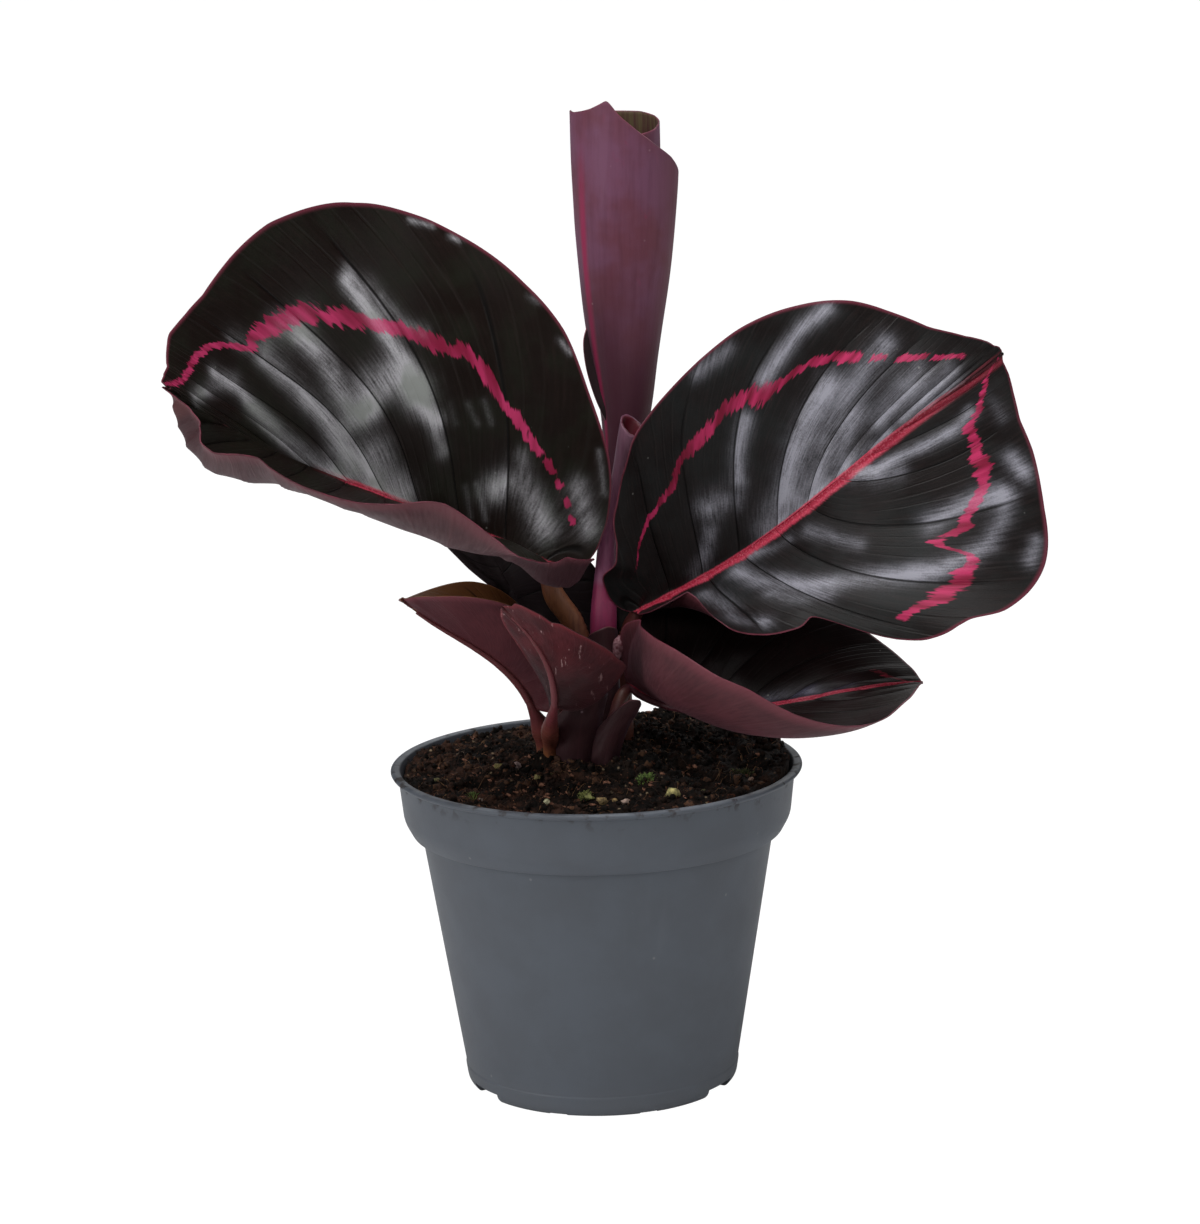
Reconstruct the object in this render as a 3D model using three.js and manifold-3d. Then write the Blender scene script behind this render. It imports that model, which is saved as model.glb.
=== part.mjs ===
// Potted calathea: a tapered nursery pot filled with peat, and a young plant with two open leaves, a tall
// rolled leaf, a slim new shoot, four low leaves and the sheaths round its crown. Millimetres, +Z up, front
// towards -Y. The origin is the middle of the foot pad, on the surface the pot stands on.

import * as THREE from 'three';
import { mergeVertices } from 'three/addons/utils/BufferGeometryUtils.js';
import Module from 'manifold-3d';

const wasm = await Module();
wasm.setup();

// Driving dimensions.

const POT = {
  rimRadius: 60,
  rimInner: 57.2,
  height: 95.2,
  lipThickness: 1.3,
  bandTopRadius: 57.9,
  bandLowRadius: 56.4,
  bandBevelTop: 80,
  bandFootRadius: 53.9,
  bandBottom: 75.6,
  wallTopRadius: 51.5,
  wallFootRadius: 40.2,
  cornerHeight: 6,
  wall: 1.1,
  floorUnder: 2.8,
  floorTop: 4.2,
  footOuter: 38.2,
  footInner: 33,
  padRadius: 10,
  sides: 52,
};

const CHANNELS = { count: 6, first: 20, step: 40, width: 5.5, depth: 0.5 };
const GAPS = { angles: [-150, -30, 90], width: 13, depth: 2.8 };
const DRAINS = {
  radius: 3.2,
  rings: [{ at: 29, angles: [-150, -30, 90] }, { at: 20, angles: [-90, 30, 150] }],
};

const SOIL = { clearance: 0.3, wallTop: 93.6, crownHeight: 6.2, crownSpread: 30, tilt: 2.2, clod: 0.7 };

const SHEET = 0.8;
const CLEARANCE = 0.3;

// How finely the rods and sheets are divided.
const STALK_RINGS = { rings: 26, sides: 6 };
const ROLL_RINGS = { rings: 14, sides: 12 };
const SHOOT_RINGS = { rings: 22, sides: 12 };
const SHEATH_GRID = { rows: 6, columns: 12 };
const ROLLED_GRID = { rows: 11, columns: 32 };
const LARGE_BLADE_GRID = [22, 6];
const SMALL_BLADE_GRID = [13, 4];
const LARGE_BLADE = 80;
const SOIL_SECTORS = 38;
const MIDRIB_STEPS = 60;

// Half of the flat leaf outline, from stalk to tip: distance along the midrib and half width, as parts of the
// leaf's length.
const OUTLINE = [
  [0, 0], [-0.035, 0.07], [-0.055, 0.17], [0, 0.27], [0.12, 0.345], [0.28, 0.385],
  [0.45, 0.39], [0.62, 0.36], [0.78, 0.29], [0.9, 0.19], [0.97, 0.085], [1, 0],
];
// Veins start along the midrib up to VEIN_LAST of it, fan out towards the stalk and sweep towards the tip.
const VEIN_LAST = 0.985;
const VEIN_FAN = 2.2;
const VEIN_SWEEP = 1.5;
const RIPPLE = 0.6;

// The rib under a blade: where its points lie along the midrib, how deep it sinks below the blade, and how its
// radius falls towards the tip.
const RIB = { reach: [0.02, 0.25, 0.5, 0.75, 0.9], sink: 0.7, rise: 0.6, start: 1.25, taper: 0.85 };

// Angles are in degrees at the stalk, half way and at the tip of a leaf. pitch is the midrib's climb, heading its
// bearing from +X towards +Y, roll the turn of the blade about it. lift is the angle at which a half leaves the
// midrib, curl its added turn for each mm outward, fullness the half's width along the margin, ruffle the margin's
// waves: how many, how high and where the first one starts.
const LEAVES = {
  leaf_left: {
    colour: 0x2c2a27, length: 152.5, foot: [-12.6, -3.5, 154.3],
    pitch: [29, 24.5, 31], heading: [177, 224.5, 242.5], roll: [-61, -71.5, -50.5],
    halves: [
      { width: 1.1, lift: [96, 33.5, -29.5], curl: [-0.65, 0.92, 3.4],
        fullness: [1.05, 1.06, 1.12, 0.72, 1.55], ruffle: [2.5, 1.5, 170] },
      { width: 1.15, lift: [17.5, 22, 13.5], curl: [0.5, -0.19, 0.73],
        fullness: [0.4, 0.75, 1.12, 1.13, 0.96], ruffle: [5, 0.8, 0] },
    ],
    stalk: [[-5, 4.5, 86], [-5, 4, 104], [-4.6, 2.5, 122], [-6, 0, 139]],
    stalkRadius: 2.6, ribRadius: 1.5,
  },
  leaf_right: {
    colour: 0x2a2a2c, length: 136.4, foot: [12.5, 3.4, 139],
    pitch: [14, 40, 21.5], heading: [40, -20, 52], roll: [69, 81, 49],
    halves: [
      { width: 1.03, lift: [24.5, 8, -11], curl: [0.05, 0.57, -0.45],
        fullness: [1.1, 0.91, 0.98, 0.93, 0.55], ruffle: [3, 1.2, 0] },
      { width: 1.09, lift: [87, 19.5, -6.5], curl: [0.29, 0.05, 0.16],
        fullness: [1.05, 0.72, 0.72, 1.28, 0.45], ruffle: [4, 1.8, 240] },
    ],
    stalk: [[9, 7.5, 86], [9, 7.5, 104], [9, 7.2, 122], [10.2, 6, 132]],
    stalkRadius: 2.6, ribRadius: 1.5,
  },
  leaf_low_right: {
    colour: 0x4a2730, length: 87.7, foot: [12, 0.2, 118.5],
    pitch: [-25, 8.5, 1], heading: [-47, -7, -5], roll: [10, 34.5, 6.5],
    halves: [
      { width: 1.06, lift: [56, 17, 6], curl: [0.13, 0.09, 0.25],
        fullness: [1.35, 1.02, 0.95, 1.06, 0.89], ruffle: [3, 0.5, 0] },
      { width: 1.27, lift: [78, 4.5, 9], curl: [0.34, 1.88, 0.27],
        fullness: [1, 0.87, 1.18, 1.09, 0.98], ruffle: [4, 0.6, 90] },
    ],
    stalk: [[1.5, -7.8, 87], [2, -7.6, 101], [6.2, -5.5, 110], [10.2, -2, 116]],
    stalkRadius: 1.8, ribRadius: 1.1,
  },
  leaf_low_left: {
    colour: 0x5a2f38, length: 52.9, foot: [-17.9, -5, 113.2],
    pitch: [70, 35, 46], heading: [189, 197, 199], roll: [19.5, 7, 20.5],
    halves: [
      { width: 0.96, lift: [45, 41.5, 17.5], curl: [0.5, 0.56, 0.5],
        fullness: [0.6, 0.8, 1.02, 1, 0.99], ruffle: [3, 0.3, 0] },
      { width: 1.05, lift: [30.5, 52, 7.5], curl: [0.43, 0.6, 0.27],
        fullness: [1, 1, 1.02, 1.03, 1], ruffle: [3, 0.3, 90] },
    ],
    stalk: [[-15, 1.5, 88], [-15.2, 1, 100], [-16.2, -2, 106.5]],
    stalkRadius: 1.4, ribRadius: 0.9,
  },
  leaf_low_front: {
    colour: 0x55303a, length: 35, foot: [-11.5, -25, 118],
    pitch: [96, 61, 43], heading: [189, 200, 193], roll: [62, 44, 40],
    halves: [
      { width: 1.22, lift: [30.5, -10, -5], curl: [0.39, 0.13, 0.26],
        fullness: [1, 1.05, 1.18, 0.96, 1], ruffle: [2, 0.4, 0] },
      { width: 0.76, lift: [55, 24, 20], curl: [0.41, 0.29, 0.33],
        fullness: [1, 1, 1, 1, 1], ruffle: [2, 0.3, 90] },
    ],
    stalk: [[-12.8, -4.5, 88], [-13, -6.5, 101], [-13, -18, 110]],
    stalkRadius: 1.4, ribRadius: 0.8,
  },
  leaf_back_left: {
    colour: 0x35323a, length: 66, foot: [-19, 14, 136],
    pitch: [60, 66, 70], heading: [185, 180, 178], roll: [-90, -90, -90],
    halves: [
      { width: 0.95, lift: [10, 8, 4], curl: [0.3, 0.3, 0.3],
        fullness: [1, 1, 1, 1, 1], ruffle: [3, 0.4, 0] },
      { width: 0.7, lift: [10, 8, 4], curl: [0.3, 0.3, 0.3],
        fullness: [1, 1, 1, 1, 1], ruffle: [3, 0.4, 90] },
    ],
    stalk: [[-9.5, 11.5, 86], [-9.7, 12, 102], [-12.6, 14, 120]],
    stalkRadius: 1.9, ribRadius: 1.1,
  },
};

// Degrees that a sheath's slot in the soil is longer at each end, for each mm of its clearance.
const TURN_PER_MM = 6;

// A rolled sheet turns round its middle line from the first angle to the last. Its heights at the top edge and
// its relative radii are spaced evenly over that turn, and its radii over its height.
const ROLLED = {
  colour: 0x5b3650,
  middle: [[7.5, 12, 163], [10.4, 20, 190], [10.9, 24, 214], [11.4, 24, 243], [12, 24, 272]],
  radii: [3.9, 6.4, 10.6, 13.9, 15.1],
  turn: [300, 760],
  swell: [0.6, 0.64, 0.72, 0.8, 0.92, 1.01, 1.01, 1, 1, 1, 0.99],
  top: [276, 277, 277.5, 277.3, 278.4, 280.3, 285, 283.5, 273.5, 264.5, 254],
  stalk: [[2.5, 15.5, 86], [3, 15.5, 104], [5, 14.5, 130], [7.4, 12.2, 160], [7.5, 12, 168]],
  stalkRadii: [2.4, 2.3, 2.2, 2.6, 3.7],
};

const SHOOT = {
  colour: 0x7a3a63,
  path: [[2.4, 1.8, 86], [2.4, 1.6, 104], [2.5, 0.8, 122], [3, 1, 138], [3.7, 3.5, 150], [5, 5.5, 164],
    [8.6, 5.5, 180], [12.6, 4.5, 195.5]],
  radii: [3, 3.2, 3.6, 3.8, 3, 2.4, 2.3, 3.6],
  cupDepth: 12,
  cupWall: 0.8,
  cupTaper: 0.45,
};

const SHEATHS = {
  sheath_left: {
    colour: 0x45262d, middle: [[-6, -5.5, 88], [-5.6, -7.5, 104], [-3.5, -9, 118]], radii: [5.4, 6, 7.4],
    turn: [205, 300], swell: [1, 1, 1, 1, 1], top: [108, 114.5, 113, 117.5, 114],
  },
  sheath_right: {
    colour: 0x4a2a30, middle: [[1.7, -9.2, 88], [3, -9.6, 102], [9.5, -11, 117]], radii: [3.4, 4.2, 5],
    turn: [205, 345], swell: [1, 1, 1, 1, 1], top: [109, 114.5, 117.5, 117, 113.5],
  },
};

// Small helpers.

const rad = (degrees) => (degrees * Math.PI) / 180;
const vector = (p) => new THREE.Vector3(...p);

// A smooth line through evenly spaced values, read at u from 0 to 1.
function through(values, u) {
  const last = values.length - 1;
  const x = Math.min(Math.max(u, 0), 1) * last;
  const i = Math.min(Math.floor(x), last - 1);
  const f = x - i;
  const p0 = values[Math.max(i - 1, 0)];
  const [p1, p2] = [values[i], values[i + 1]];
  const p3 = values[Math.min(i + 2, last)];
  const bend = 2 * p0 - 5 * p1 + 4 * p2 - p3;
  const turn = -p0 + 3 * p1 - 3 * p2 + p3;
  return 0.5 * (2 * p1 + (p2 - p0) * f + bend * f * f + turn * f * f * f);
}

// A parabola through three values at 0, 0.5 and 1.
function bow([a, b, c], u) {
  return a * (1 - u) * (1 - 2 * u) + b * 4 * u * (1 - u) + c * u * (2 * u - 1);
}

function toSolid(geometry) {
  const bare = geometry.clone();
  bare.deleteAttribute('normal');
  bare.deleteAttribute('uv');
  const merged = mergeVertices(bare, 1e-4);
  return new wasm.Manifold(new wasm.Mesh({
    numProp: 3,
    vertProperties: new Float32Array(merged.attributes.position.array),
    triVerts: new Uint32Array(merged.index.array),
  }));
}

function toGeometry(solid) {
  const { vertProperties, triVerts } = solid.getMesh();
  const geometry = new THREE.BufferGeometry();
  geometry.setAttribute('position', new THREE.BufferAttribute(new Float32Array(vertProperties), 3));
  geometry.setIndex(new THREE.BufferAttribute(new Uint32Array(triVerts), 1));
  geometry.computeVertexNormals();
  return geometry;
}

function indexed(points, triangles) {
  const geometry = new THREE.BufferGeometry();
  const numbers = points.flatMap((p) => [p.x, p.y, p.z]);
  geometry.setAttribute('position', new THREE.Float32BufferAttribute(numbers, 3));
  geometry.setIndex(triangles);
  return geometry;
}

// A round rod along a smooth line through the points, its radii spaced evenly along it, with flat ends.
function rod(points, radii, { rings, sides, grow = 0 }) {
  const curve = new THREE.CatmullRomCurve3(points, false, 'centripetal');
  const frames = curve.computeFrenetFrames(rings, false);
  const vertices = [];
  const triangles = [];
  for (let i = 0; i <= rings; i += 1) {
    const u = i / rings;
    const centre = curve.getPoint(u);
    const radius = through(radii, u) + grow;
    for (let k = 0; k < sides; k += 1) {
      const angle = (2 * Math.PI * k) / sides;
      vertices.push(centre.clone()
        .addScaledVector(frames.normals[i], radius * Math.cos(angle))
        .addScaledVector(frames.binormals[i], radius * Math.sin(angle)));
    }
  }
  const first = vertices.push(curve.getPoint(0).addScaledVector(frames.tangents[0], -grow)) - 1;
  const last = vertices.push(curve.getPoint(1)) - 1;
  for (let i = 0; i < rings; i += 1) {
    for (let k = 0; k < sides; k += 1) {
      const a = i * sides + k;
      const b = i * sides + ((k + 1) % sides);
      triangles.push(a, b, b + sides, a, b + sides, a + sides);
    }
  }
  for (let k = 0; k < sides; k += 1) {
    const next = (k + 1) % sides;
    triangles.push(first, next, k, last, rings * sides + k, rings * sides + next);
  }
  return indexed(vertices, triangles);
}

// The pot is one turned shell, with drains through its floor and cuts across its foot ring.

function potProfile() {
  const p = POT;
  const bottom = p.height - p.lipThickness;
  const inner = (r) => r - p.wall;
  return [
    [0, 0], [p.padRadius, 0], [p.padRadius + 0.8, p.floorUnder],
    [p.footInner - 0.5, p.floorUnder], [p.footInner, 0], [p.footOuter, 0],
    [p.footOuter + 1.2, 0.9], [p.wallFootRadius - 0.2, 3], [p.wallFootRadius, p.cornerHeight],
    [p.wallTopRadius, p.bandBottom - 0.4], [p.bandFootRadius, p.bandBottom],
    [p.bandLowRadius - 0.5, p.bandBevelTop - 1.6], [p.bandLowRadius, p.bandBevelTop],
    [p.bandTopRadius - 0.1, bottom - 0.6], [p.rimRadius - 0.6, bottom - 0.2],
    [p.rimRadius, bottom + 0.3], [p.rimRadius - 0.4, p.height - 0.15], [p.rimRadius - 1.2, p.height],
    [p.rimInner, p.height - 0.3], [inner(p.bandTopRadius) - 0.2, bottom - 0.8],
    [inner(p.bandLowRadius), p.bandBevelTop + 1], [inner(p.bandFootRadius), p.bandBottom + 1.2],
    [inner(p.wallTopRadius), p.bandBottom], [inner(p.wallFootRadius), p.cornerHeight + 0.5],
    [inner(p.wallFootRadius) - 2, p.floorTop], [0, p.floorTop],
  ];
}

// A bar that lies outward along an angle in the horizontal plane.
function radialBar(angle, from, to, width, low, high) {
  const bar = new THREE.BoxGeometry(to - from, width, high - low);
  bar.translate((from + to) / 2, 0, (low + high) / 2);
  bar.rotateZ(rad(angle));
  return bar;
}

function buildPot() {
  const profile = potProfile().map(([r, z]) => new THREE.Vector2(r, z));
  const turned = new THREE.LatheGeometry(profile, POT.sides);
  turned.rotateX(Math.PI / 2);
  let solid = toSolid(turned);
  for (let i = 0; i < CHANNELS.count; i += 1) {
    const angle = -90 + CHANNELS.first * (i % 2 ? 1 : -1) + 120 * Math.floor(i / 2);
    solid = solid.subtract(toSolid(radialBar(angle, 31, 42, CHANNELS.width, -1, CHANNELS.depth)));
  }
  for (const angle of GAPS.angles) {
    solid = solid.subtract(toSolid(radialBar(angle, 31, 39, GAPS.width, -1, GAPS.depth)));
  }
  const drain = (angle, at) => {
    const hole = new THREE.CylinderGeometry(DRAINS.radius, DRAINS.radius, 10, 16);
    hole.rotateX(Math.PI / 2);
    hole.translate(at * Math.cos(rad(angle)), at * Math.sin(rad(angle)), 4);
    return toSolid(hole);
  };
  for (const { at, angles } of DRAINS.rings) {
    for (const angle of angles) {
      solid = solid.subtract(drain(angle, at));
    }
  }
  return toGeometry(solid);
}

// Leaves.

// The midrib's points and axes at evenly spaced steps from stalk to tip.
function midrib(leaf) {
  const line = [];
  const point = vector(leaf.foot);
  for (let i = 0; i <= MIDRIB_STEPS; i += 1) {
    const u = i / MIDRIB_STEPS;
    const pitch = rad(bow(leaf.pitch, u));
    const heading = rad(bow(leaf.heading, u));
    const roll = rad(bow(leaf.roll, u));
    const along = new THREE.Vector3(
      Math.cos(pitch) * Math.cos(heading), Math.cos(pitch) * Math.sin(heading), Math.sin(pitch));
    const level = new THREE.Vector3(-Math.sin(heading), Math.cos(heading), 0);
    const upper = along.clone().cross(level);
    const across = level.clone().multiplyScalar(Math.cos(roll)).addScaledVector(upper, Math.sin(roll));
    const normal = level.clone().multiplyScalar(-Math.sin(roll)).addScaledVector(upper, Math.cos(roll));
    if (i > 0) {
      const mean = along.clone().add(line[i - 1].along).multiplyScalar(0.5);
      point.addScaledVector(mean, leaf.length / MIDRIB_STEPS);
    }
    line.push({ point: point.clone(), along, across, normal });
  }
  return line;
}

function readMidrib(line, u) {
  const x = Math.min(Math.max(u, 0), 1) * (line.length - 1);
  const i = Math.min(Math.floor(x), line.length - 2);
  const mix = (key) => line[i][key].clone().lerp(line[i + 1][key], x - i);
  return { point: mix('point'), along: mix('along'), across: mix('across'), normal: mix('normal') };
}

// A point of the blade's middle surface: t is the place on the midrib where its vein starts, v runs out along the
// vein, and side is +1 or -1.
function bladePoint(leaf, line, side, t, v) {
  const half = leaf.halves[side > 0 ? 0 : 1];
  const margin = 1 - (1 - t) ** VEIN_FAN;
  const start = VEIN_LAST * t * leaf.length;
  const end = through(OUTLINE.map((p) => p[0]), margin) * leaf.length;
  const [waves, height, phase] = half.ruffle;
  const wave = 2 * Math.PI * waves * margin + rad(phase);
  const taper = Math.sin(Math.PI * margin);
  const outline = through(OUTLINE.map((p) => p[1]), margin) * leaf.length;
  const full = outline * half.width * through(half.fullness, margin);
  const along = start + (end - start) * v ** VEIN_SWEEP;
  const out = (full + RIPPLE * height * Math.cos(wave) * taper) * v;
  const u = Math.min(Math.max(along / leaf.length, 0), 1);
  const at = readMidrib(line, u);
  const lift = rad(bow(half.lift, u));
  const curl = rad(bow(half.curl, u)) || 1e-6;
  const flat = (Math.sin(lift + curl * out) - Math.sin(lift)) / curl;
  const rise = (Math.cos(lift) - Math.cos(lift + curl * out)) / curl;
  const ruffle = height * Math.sin(wave) * taper * v ** 3;
  return at.point
    .addScaledVector(at.along, along - u * leaf.length)
    .addScaledVector(at.across, side * flat)
    .addScaledVector(at.normal, rise + ruffle);
}

// The closed shell round a grid of points that narrows to one point at its first and last rows.
function shell(grid, thickness) {
  const rows = grid.length - 1;
  const columns = grid[0].length - 1;
  const clamp = (x, most) => Math.min(Math.max(x, 0), most);
  const at = (i, j) => grid[clamp(i, rows)][clamp(j, columns)];
  const normal = (i, j) => {
    const row = clamp(i, rows - 1) || 1;
    const down = at(row + 1, j).clone().sub(at(row - 1, j));
    const over = at(row, j + 1).clone().sub(at(row, j - 1));
    return down.cross(over).normalize();
  };
  const vertices = [];
  const key = (i, j) => (i === 0 ? 0 : i === rows ? 1 : 2 + (i - 1) * (columns + 1) + j);
  const place = (i, j, offset) => {
    vertices[2 * key(i, j) + (offset > 0 ? 0 : 1)] = at(i, j).clone().addScaledVector(normal(i, j), offset);
  };
  for (const offset of [thickness / 2, -thickness / 2]) {
    place(0, columns / 2, offset);
    place(rows, columns / 2, offset);
    for (let i = 1; i < rows; i += 1) {
      for (let j = 0; j <= columns; j += 1) {
        place(i, j, offset);
      }
    }
  }
  const triangles = [];
  const face = (a, b, c) => {
    if (a !== b && b !== c && c !== a) {
      triangles.push(2 * a, 2 * b, 2 * c, 2 * a + 1, 2 * c + 1, 2 * b + 1);
    }
  };
  for (let i = 0; i < rows; i += 1) {
    for (let j = 0; j < columns; j += 1) {
      const [a, b, c, d] = [key(i, j), key(i + 1, j), key(i + 1, j + 1), key(i, j + 1)];
      face(a, b, c);
      face(a, c, d);
    }
    for (const j of [0, columns]) {
      const [a, b] = j ? [key(i + 1, j), key(i, j)] : [key(i, j), key(i + 1, j)];
      triangles.push(2 * a, 2 * a + 1, 2 * b + 1, 2 * a, 2 * b + 1, 2 * b);
    }
  }
  return indexed(vertices, triangles);
}

function bladeGrid(leaf, line, rows, columns) {
  const grid = [];
  for (let i = 0; i <= rows; i += 1) {
    const t = (i / rows) ** 1.5;
    const row = [];
    for (let j = -columns; j <= columns; j += 1) {
      row.push(bladePoint(leaf, line, j < 0 ? -1 : 1, t, Math.abs(j) / columns));
    }
    grid.push(row);
  }
  return grid;
}

// The stalk runs on under the blade as its midrib.
function stalkRod(leaf, line, options) {
  const under = RIB.reach.map((u) => {
    const at = readMidrib(line, u);
    return at.point.addScaledVector(at.normal, -RIB.sink * leaf.ribRadius * (1 - RIB.rise * u));
  });
  const stalk = leaf.stalk.map(vector);
  const radii = [
    ...stalk.map(() => leaf.stalkRadius),
    ...RIB.reach.map((u) => leaf.ribRadius * (RIB.start - RIB.taper * u)),
  ];
  return rod([...stalk, ...under], radii, options);
}

function buildLeaf(leaf) {
  const line = midrib(leaf);
  const fine = leaf.length > LARGE_BLADE ? LARGE_BLADE_GRID : SMALL_BLADE_GRID;
  const blade = toSolid(shell(bladeGrid(leaf, line, ...fine), SHEET));
  const stalk = toSolid(stalkRod(leaf, line, STALK_RINGS));
  return toGeometry(blade.add(stalk));
}

// Rolled sheets.

function rolledSheet(sheet, { rows, columns, grow = 0 }) {
  const curve = new THREE.CatmullRomCurve3(sheet.middle.map(vector), false, 'centripetal');
  const [from, to] = sheet.turn;
  const low = sheet.middle[0][2] - grow;
  const high = sheet.middle.at(-1)[2];
  const vertices = [];
  const half = SHEET / 2 + grow;
  for (let i = 0; i <= rows; i += 1) {
    for (let j = 0; j <= columns; j += 1) {
      const s = j / columns;
      const extra = grow * (2 * s - 1) * TURN_PER_MM;
      const angle = rad(from + (to - from) * s + extra);
      const z = low + (through(sheet.top, s) - low) * (i / rows);
      const u = (z - low) / (high - low);
      const centre = curve.getPoint(Math.min(u, 1));
      const radius = through(sheet.radii, u) * through(sheet.swell, s);
      for (const offset of [half, -half]) {
        const r = radius + offset;
        vertices.push(new THREE.Vector3(centre.x + r * Math.cos(angle), centre.y + r * Math.sin(angle), z));
      }
    }
  }
  const triangles = [];
  const quad = (a, b, c, d) => triangles.push(a, b, c, a, c, d);
  const key = (i, j, side) => 2 * (i * (columns + 1) + j) + side;
  for (let i = 0; i < rows; i += 1) {
    for (let j = 0; j < columns; j += 1) {
      quad(key(i, j, 0), key(i, j + 1, 0), key(i + 1, j + 1, 0), key(i + 1, j, 0));
      quad(key(i, j, 1), key(i + 1, j, 1), key(i + 1, j + 1, 1), key(i, j + 1, 1));
    }
    quad(key(i, 0, 0), key(i + 1, 0, 0), key(i + 1, 0, 1), key(i, 0, 1));
    quad(key(i, columns, 0), key(i, columns, 1), key(i + 1, columns, 1), key(i + 1, columns, 0));
  }
  for (let j = 0; j < columns; j += 1) {
    quad(key(0, j, 0), key(0, j, 1), key(0, j + 1, 1), key(0, j + 1, 0));
    quad(key(rows, j, 0), key(rows, j + 1, 0), key(rows, j + 1, 1), key(rows, j, 1));
  }
  return indexed(vertices, triangles);
}

function buildRolled() {
  const sheet = toSolid(rolledSheet(ROLLED, ROLLED_GRID));
  const stalk = toSolid(rod(ROLLED.stalk.map(vector), ROLLED.stalkRadii, ROLL_RINGS));
  return toGeometry(sheet.add(stalk));
}

// The new shoot is a tight roll with an open mouth at its top.
function buildShoot() {
  const path = SHOOT.path.map(vector);
  const outer = toSolid(rod(path, SHOOT.radii, SHOOT_RINGS));
  const top = path.at(-1);
  const down = path.at(-2).clone().sub(top).normalize();
  const mouth = [top.clone().addScaledVector(down, SHOOT.cupDepth), top.clone().addScaledVector(down, -1)];
  const radius = SHOOT.radii.at(-1) - SHOOT.cupWall;
  const cup = toSolid(rod(mouth, [radius * SHOOT.cupTaper, radius], { rings: 3, sides: SHOOT_RINGS.sides }));
  return toGeometry(outer.subtract(cup));
}

// Soil.

function soilHeight(x, y) {
  const r = Math.hypot(x, y);
  const crown = SOIL.crownHeight * Math.exp(-((r / SOIL.crownSpread) ** 2));
  const tilt = (SOIL.tilt * (x + 0.3 * y)) / 55;
  const clods = Math.sin(x * 0.31 + y * 0.17) + Math.sin(y * 0.37 - x * 0.11 + 1.3);
  const crumbs = 0.6 * Math.sin((x + y) * 0.5);
  const calm = Math.min(1, (56 - r) / 10 + 0.15);
  return SOIL.wallTop + crown + tilt + SOIL.clod * (clods + crumbs) * calm;
}

function buildSoil(holes) {
  const c = SOIL.clearance;
  const inner = (r) => r - POT.wall - c;
  const profile = [
    [0, POT.floorTop + c], [inner(POT.wallFootRadius) - 2.2, POT.floorTop + c],
    [inner(POT.wallFootRadius) - 0.1, POT.cornerHeight + 1],
    [inner(POT.wallTopRadius) - 0.1, POT.bandBottom],
    [inner(POT.bandFootRadius) - 0.2, POT.bandBottom + 2],
    [inner(POT.bandLowRadius) - 0.1, POT.bandBevelTop + 1.6],
    [inner(POT.bandTopRadius) - 0.4, 92],
  ];
  for (const r of [51, 45, 38, 31, 24, 17, 10, 0]) {
    profile.push([r, 100]);
  }
  const turned = new THREE.LatheGeometry(profile.map(([r, z]) => new THREE.Vector2(r, z)), SOIL_SECTORS);
  turned.rotateX(Math.PI / 2);
  const position = turned.attributes.position;
  for (let i = 0; i < position.count; i += 1) {
    if (position.getZ(i) > 99) {
      position.setZ(i, soilHeight(position.getX(i), position.getY(i)));
    }
  }
  return toGeometry(holes.reduce((soil, hole) => soil.subtract(toSolid(hole)), toSolid(turned)));
}

// The potted plant.

// Every stem stands in a hole of its own shape in the soil, a clearance wider than itself.
const grow = CLEARANCE;
const holes = [
  ...Object.values(LEAVES).map((leaf) => stalkRod(leaf, midrib(leaf), { ...STALK_RINGS, grow })),
  rod(ROLLED.stalk.map(vector), ROLLED.stalkRadii, { ...ROLL_RINGS, grow }),
  rod(SHOOT.path.map(vector), SHOOT.radii, { ...SHOOT_RINGS, grow }),
  ...Object.values(SHEATHS).map((sheath) => rolledSheet(sheath, { ...SHEATH_GRID, grow })),
];

const plant = new THREE.Group();

function addPiece(name, geometry, colour, roughness) {
  const material = new THREE.MeshStandardMaterial({ color: colour, roughness, metalness: 0 });
  const piece = new THREE.Mesh(geometry, material);
  piece.name = name;
  plant.add(piece);
}

addPiece('pot', buildPot(), 0x545a60, 0.6);
addPiece('soil', buildSoil(holes), 0x1d1511, 0.95);
for (const [name, leaf] of Object.entries(LEAVES)) {
  addPiece(name, buildLeaf(leaf), leaf.colour, 0.35);
}
addPiece('leaf_rolled', buildRolled(), ROLLED.colour, 0.5);
addPiece('shoot_young', buildShoot(), SHOOT.colour, 0.45);
for (const [name, sheath] of Object.entries(SHEATHS)) {
  addPiece(name, toGeometry(toSolid(rolledSheet(sheath, SHEATH_GRID))), sheath.colour, 0.6);
}

export default plant;
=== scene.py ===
import math
import random

import bmesh
import bpy
import numpy as np
from mathutils import Matrix, Vector


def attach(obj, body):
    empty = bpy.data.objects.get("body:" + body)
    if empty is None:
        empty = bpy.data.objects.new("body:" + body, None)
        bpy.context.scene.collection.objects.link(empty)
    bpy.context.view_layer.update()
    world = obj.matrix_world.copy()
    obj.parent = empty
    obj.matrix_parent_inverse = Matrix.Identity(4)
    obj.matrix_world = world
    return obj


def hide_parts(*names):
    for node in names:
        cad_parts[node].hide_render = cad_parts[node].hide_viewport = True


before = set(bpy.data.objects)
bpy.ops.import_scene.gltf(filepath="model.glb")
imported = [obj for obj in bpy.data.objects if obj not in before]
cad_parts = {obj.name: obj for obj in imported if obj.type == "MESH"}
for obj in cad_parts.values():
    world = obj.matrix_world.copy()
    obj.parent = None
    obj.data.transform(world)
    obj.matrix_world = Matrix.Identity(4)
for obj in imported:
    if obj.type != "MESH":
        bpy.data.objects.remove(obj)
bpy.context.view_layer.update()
mm = 0.001               # the lists below are in millimetres, the scene is in metres
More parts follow.
